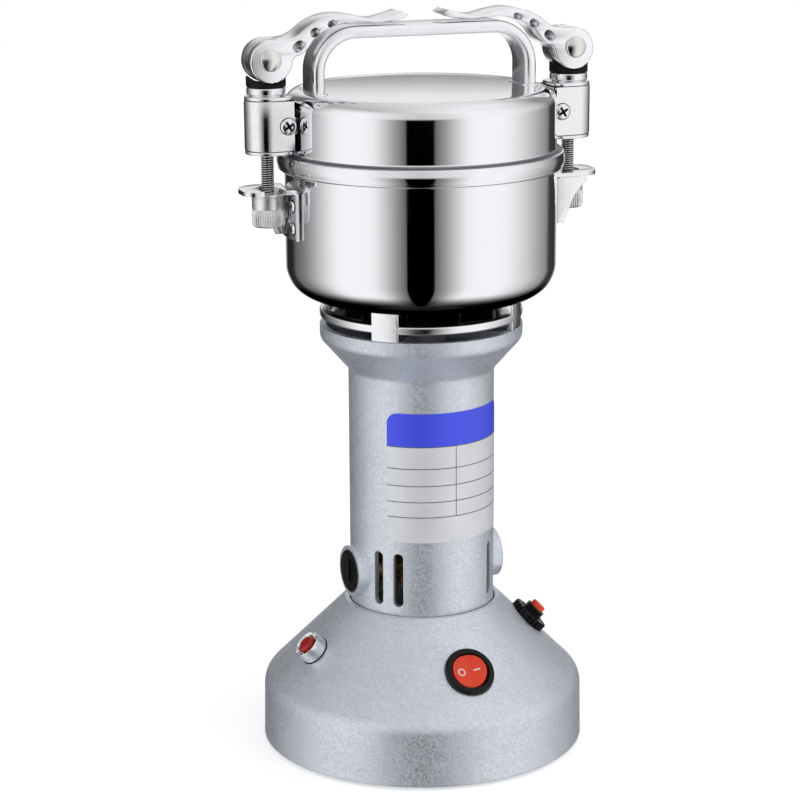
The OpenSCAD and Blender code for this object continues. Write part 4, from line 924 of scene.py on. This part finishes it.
def make_bracket():
    """The flange with its slot, bent down into the curved leg, and the gusset beside it."""
    tip, back, t, half, foot = 85.0, BOWL_R + 0.05, 2.0, 11, FLANGE_Z - 21
    top = FLANGE_Z + t
    fold = rounded([(back, foot), (back + t, foot), (back + t, FLANGE_Z), (tip + 4, FLANGE_Z),
                    (tip + 4, top), (back, top)], [0.5, 0.5, 1.2, 0, 0, 3.1], 8)
    bracket = new_object("right_bent_bracket", lathe(fold, 48, -16, 32))
    plan = rounded([(back - 2, -half), (tip, -half), (tip, half), (back - 2, half)], [0, half, 5, 0], 16)
    carve(bracket, prism(plan, FLANGE_Z - 30, top + 5), "INTERSECT")
    near, far = 67.8, 77.4
    slot = arc(0, 0, far, 16, 2, 7) + arc((near + far) / 2, 0, (far - near) / 2, 0, -180, 24)
    slot += arc(0, 0, near, 2, 16, 7)
    carve(bracket, prism(slot, FLANGE_Z - 2, top + 2))
    soften(bracket, 0.45, 3)
    edge = [(0.93, 0), (1.03, 0.08), (0.88, 0.17), (0.67, 0.33), (0.56, 0.47), (0.47, 0.63), (0.38, 0.8),
            (0.3, 0.93), (0.27, 1)]
    rib = curve_through([(BOWL_R + x * 15.8, FLANGE_Z - z * (FLANGE_Z - foot)) for x, z in edge], 5)
    start, sunk = back + 0.4, FLANGE_Z + 0.8
    gusset = plate([(start, sunk), (rib[0][0], sunk)] + rib + [(start, foot)], t, 0.4)
    gusset = gusset.turned(90, "X").shifted(0, -10, 0)
    return new_object("right_latch_bracket", shape_of(bracket).joined(gusset))


def add_brackets():
    """Both brackets and their screws: one piece for each CAD node, and a piece of painted shadow for the
    screws.
    """
    one = shape_of(make_bracket())
    stands_for(new_object("latch_flanges", one.joined(one.turned(180))), "latch_brackets")
    made = []
    head, aside, sheet = (2.7, 1.1), 7, 2.0
    # the second shape is painted shadow: dark crosses in the screws' recesses and dark rings round their heads
    for shape in (pan_head(*head), painted_shadow_cross(*head)):
        screws = Shape()
        for drop, spin in ((5.8, 20), (15.8, 65)):
            placed = shape.turned(spin).turned(90, "Y").shifted(BOWL_R + sheet, 0, FLANGE_Z - drop)
            screws = screws.joined(placed.turned(aside), placed.turned(aside + 180))
        made.append(screws)
    stands_for(new_object("bracket_pan_screws", made[0]), "bracket_screws")
    rides_with(new_object("bracket_screw_painted_shadows", made[1]), "bracket_screws", "black_rubber")


def add_latches():
    on_both_sides(make_sleeve, "sleeve")
    on_both_sides(make_hinge_screws, "hinge_screws")
    add_latch_shadows()
    on_both_sides(make_end_plates, "washers")
    on_both_sides(make_pad, "saddle_pad", sharp=50)
    on_both_sides(make_tie_rod, "tie_rod", sharp=60)
    on_both_sides(make_lever, "lever")
    on_both_sides(make_lever_pin, "lever_pin")
    on_both_sides(make_thumb_nut, "thumb_nut", sharp=40)
    add_brackets()


def add_vent_ring():
    """The polished rib and its four posts."""
    outer, inner, post_inner, rib_top, post_angle = 46.4, 42.0, 38.0, RIB_Z + 4.2, 16
    rib = [(inner, RIB_Z), (outer, RIB_Z), (outer, rib_top), (inner, rib_top)]
    ring = lathe(rounded(rib, [0.4, 1.2, 1.2, 0.4], 6))
    post = [(post_inner, COLLAR_TOP), (outer, COLLAR_TOP), (outer, BOWL_Z), (post_inner, BOWL_Z)]
    for turn in (45, 135, 225, 315):
        one = lathe(post, 12, -90 + MOTOR_TURN + turn - post_angle / 2, post_angle)
        ring = ring.joined(shape_of(soften(new_object("post", one), 0.5, 3)))
    stands_for(new_object("polished_vent_ring", ring), "vent_ring")


def out_of_motor(shape, turn, at, z):
    """Stands a shape out of the motor's side, turned round it from the front."""
    return shape.turned(90, "X").shifted(0, -at, z).turned(MOTOR_TURN + turn)


def on_cone(shape, turn, at):
    """Stands a shape on the base's cone, which falls at 45 degrees from its neck."""
    neck_r = 36.0
    z = NECK_Z - (at - neck_r)
    return shape.turned(45, "X").shifted(0, -at, z).turned(MOTOR_TURN + turn)


def add_brush_caps():
    """The slotted caps in the motor's side bosses, with a dished face."""
    boss, proud, cap_r, dish = 3.3, 0.5, 9.9, -0.45
    face = MOTOR_R + boss + proud
    profile = rounded([(0, -3.5), (cap_r, -3.5), (cap_r, 0), (8.6, 0), (8.0, dish), (0, dish)],
                      [0, 0.3, 0.5, 0.3, 0.3, 0], 4)
    cap = new_object("cap", lathe(profile, 96))
    slot_half, slot_reach, slot_foot = 1.1, 5.2, -1.9
    carve(cap, block((-slot_half, slot_half), (-slot_reach, slot_reach), (slot_foot, 2)))
    one = shape_of(soften(cap, 0.12, 2, 50))
    both = out_of_motor(one, -90, face, BRUSH_Z).joined(out_of_motor(one, 90, face, BRUSH_Z))
    stands_for(new_object("slotted_brush_caps", both), "brush_caps")


def add_label():
    """The plate on the column, with rounded corners."""
    bend, outer, inner, spread, aside = 5.0, 33.78, 33.58, 111, 3.5
    width = math.radians(spread) * outer
    # Points along the width, closer together at the rounded corners.
    columns = [width * k / 120 for k in range(121)]
    columns += [width * k / 1200 for k in range(1, 60)] + [width * (1 - k / 1200) for k in range(1, 60)]
    columns = sorted(set(columns))
    points, faces = [], []
    for s in columns:
        near = max(0, bend - min(s, width - s))
        drop = bend - math.sqrt(max(bend * bend - near * near, 0))
        a = s / outer - math.radians(spread / 2)
        low, high = LABEL_LOW + drop, LABEL_HIGH - drop
        for r, z in ((outer, low), (outer, high), (inner, high), (inner, low)):
            points.append((r * math.sin(a), -r * math.cos(a), z))
    for i in range(len(columns) - 1):
        for k in range(4):
            m = (k + 1) % 4
            faces.append((i * 4 + k, i * 4 + 4 + k, i * 4 + 4 + m, i * 4 + m))
    last = len(columns) * 4
    faces += [(0, 1, 2, 3), (last - 4, last - 3, last - 2, last - 1)]
    label = Shape(points, faces).turned(MOTOR_TURN + aside)
    stands_for(new_object("ruled_plate", label), "rating_label")


def add_lamp():
    """The pilot lamp: a bright tube with a glass in it, and a painted shadow, a dark ring round the tube's
    foot.
    """
    tube_r, tube_top, cup_r, cup_foot = 6.75, 6.5, 4.85, 3.0
    rim = rounded([(0, -0.4), (tube_r, -0.4), (tube_r, tube_top), (6.3, tube_top), (cup_r, 4.3),
                   (cup_r, cup_foot), (0, cup_foot)], [0, 0, 0.35, 0.25, 0, 0, 0], 6)
    stands_for(new_object("lamp_tube", on_cone(lathe(rim, 128), *LAMP)), "lamp_bezel")
    glass = rounded([(0, 3.1), (4.3, 3.1), (4.15, 6.6), (2.9, 7.45), (0, 7.65)], [0, 0, 0.8, 1.2, 0], 5)
    stands_for(new_object("lamp_glass", on_cone(lathe(glass, 96), *LAMP)), "lamp_lens")
    # painted shadow: a dark ring where the tube meets the cone
    seat = lathe([(6.5, -0.1), (7.1, -0.1), (7.1, 0.12), (6.5, 0.12)], 96)
    rides_with(new_object("lamp_seat_painted_shadow", on_cone(seat, *LAMP)), "lamp_bezel", "black_rubber")


def add_reset():
    """The overload switch: its threaded neck, the ribbed nut on it and the push button."""
    neck_r, bore, neck_top, thread, pitch = 4.9, 3.6, 6.6, 0.4, 0.42
    neck = [(bore, -0.5), (neck_r, -0.5)]
    neck += [(neck_r - thread * (k % 2), 0.2 + pitch * k) for k in range(14)]
    neck += [(neck_r, 6.1), (4.6, neck_top), (bore, neck_top)]
    stands_for(new_object("reset_neck", on_cone(lathe(neck, 96), *RESET)), "reset_breaker", sharp=40)
    ribs, rib_depth, ribs_from = 22, 0.85, 8

    def ribbed(i, r, a):
        return r - (rib_depth * max(0.0, min(1.0, 0.5 + 1.6 * math.cos(a * ribs))) if r > ribs_from else 0)

    nut = [(5.0, -0.6), (9.0, -0.6), (9.3, -0.1), (9.3, 2.8), (8.8, 3.4), (5.9, 3.4), (5.0, 3.0)]
    nut = lathe(nut, ribs * 10, radius=ribbed)
    stands_for(new_object("ribbed_reset_nut", on_cone(nut, *RESET)), "reset_nut", sharp=35)
    button_r, foot, top = 3.5, 1.0, 8.9
    button = lathe(rounded([(0, foot), (button_r, foot), (button_r, top), (0, top)], [0, 0, 0.5, 0], 5), 64)
    stands_for(new_object("reset_push_button", on_cone(button, *RESET)), "reset_button")


def add_switch():
    """The round switch: its housing with two tabs, the dished rocker at off, and the rocker's marks."""
    body_r, bezel_r, bezel_top, opening = 10, 11.5, 2.0, 8.45
    bezel = rounded([(opening, -9), (body_r, -9), (body_r, -0.9), (bezel_r, -0.9), (bezel_r, bezel_top),
                     (8.9, bezel_top), (opening, 1.3)], [0, 0, 0, 0, 1.3, 0.4, 0.3], 6)
    body = lathe(bezel, 192).joined(lathe([(0, -17), (body_r, -17), (body_r, -9.5), (0, -9.5)], 96))
    for side in (-1, 1):
        body = body.joined(block((side * 5 - 2.4, side * 5 + 2.4), (-0.4, 0.4), (-24, -16)))
    stands_for(new_object("round_switch_body", on_cone(body, *SWITCH)), "switch_housing")
    rocker_r, rocker_top, dish_floor, dish_depth = 8.1, 4.9, 3.1, 1.8
    profile = rounded([(0, -6), (7.6, -6), (rocker_r, 1.8), (7.85, rocker_top), (0, rocker_top)],
                      [0, 0.3, 0, 0.9, 0], 6)
    rocker = new_object("rocker", lathe(profile, 128))
    across = [k * 0.6 for k in range(-13, 14)]
    dish = [(x, dish_floor + dish_depth * (abs(x) / rocker_r) ** 1.35) for x in across]
    carve(rocker, prism([(-8.4, 5.4)] + dish + [(8.4, 5.4)], -10, 10).turned(90, "X"))
    soften(rocker, 0.35, 3, 25)
    tilt = Matrix.Translation((0, 0, -2)) @ Matrix.Rotation(math.radians(-7), 4, "Y")
    cap = shape_of(rocker).moved(tilt)
    stands_for(new_object("red_rocker", on_cone(cap, *SWITCH)), "switch_rocker")
    ring_inner, ring_outer, sunk, proud, slope = 1.3, 1.8, -0.25, 0.1, 12
    ring = lathe([(ring_inner, sunk), (ring_outer, sunk), (ring_outer, proud), (ring_inner, proud)], 48)
    dash = block((-1.6, 1.6), (-0.3, 0.3), (sunk, proud))
    marks = ring.turned(slope, "Y").shifted(-3.8, 0, 3.8)
    marks = marks.joined(dash.turned(-slope, "Y").shifted(3.4, 0, 3.72))
    signs = new_object("rocker_marks", on_cone(marks.moved(tilt), *SWITCH))
    finish(signs, "white_print")
    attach(signs, "rocker")


add_camera()
add_world()
add_floor()
add_materials()
dress_cad_nodes()
add_bowl()
add_lid()
add_painted_seam_shade()
add_handle()
add_latches()
add_vent_ring()
add_brush_caps()
add_label()
add_lamp()
add_reset()
add_switch()
bpy.context.scene.view_settings.view_transform = "Standard"
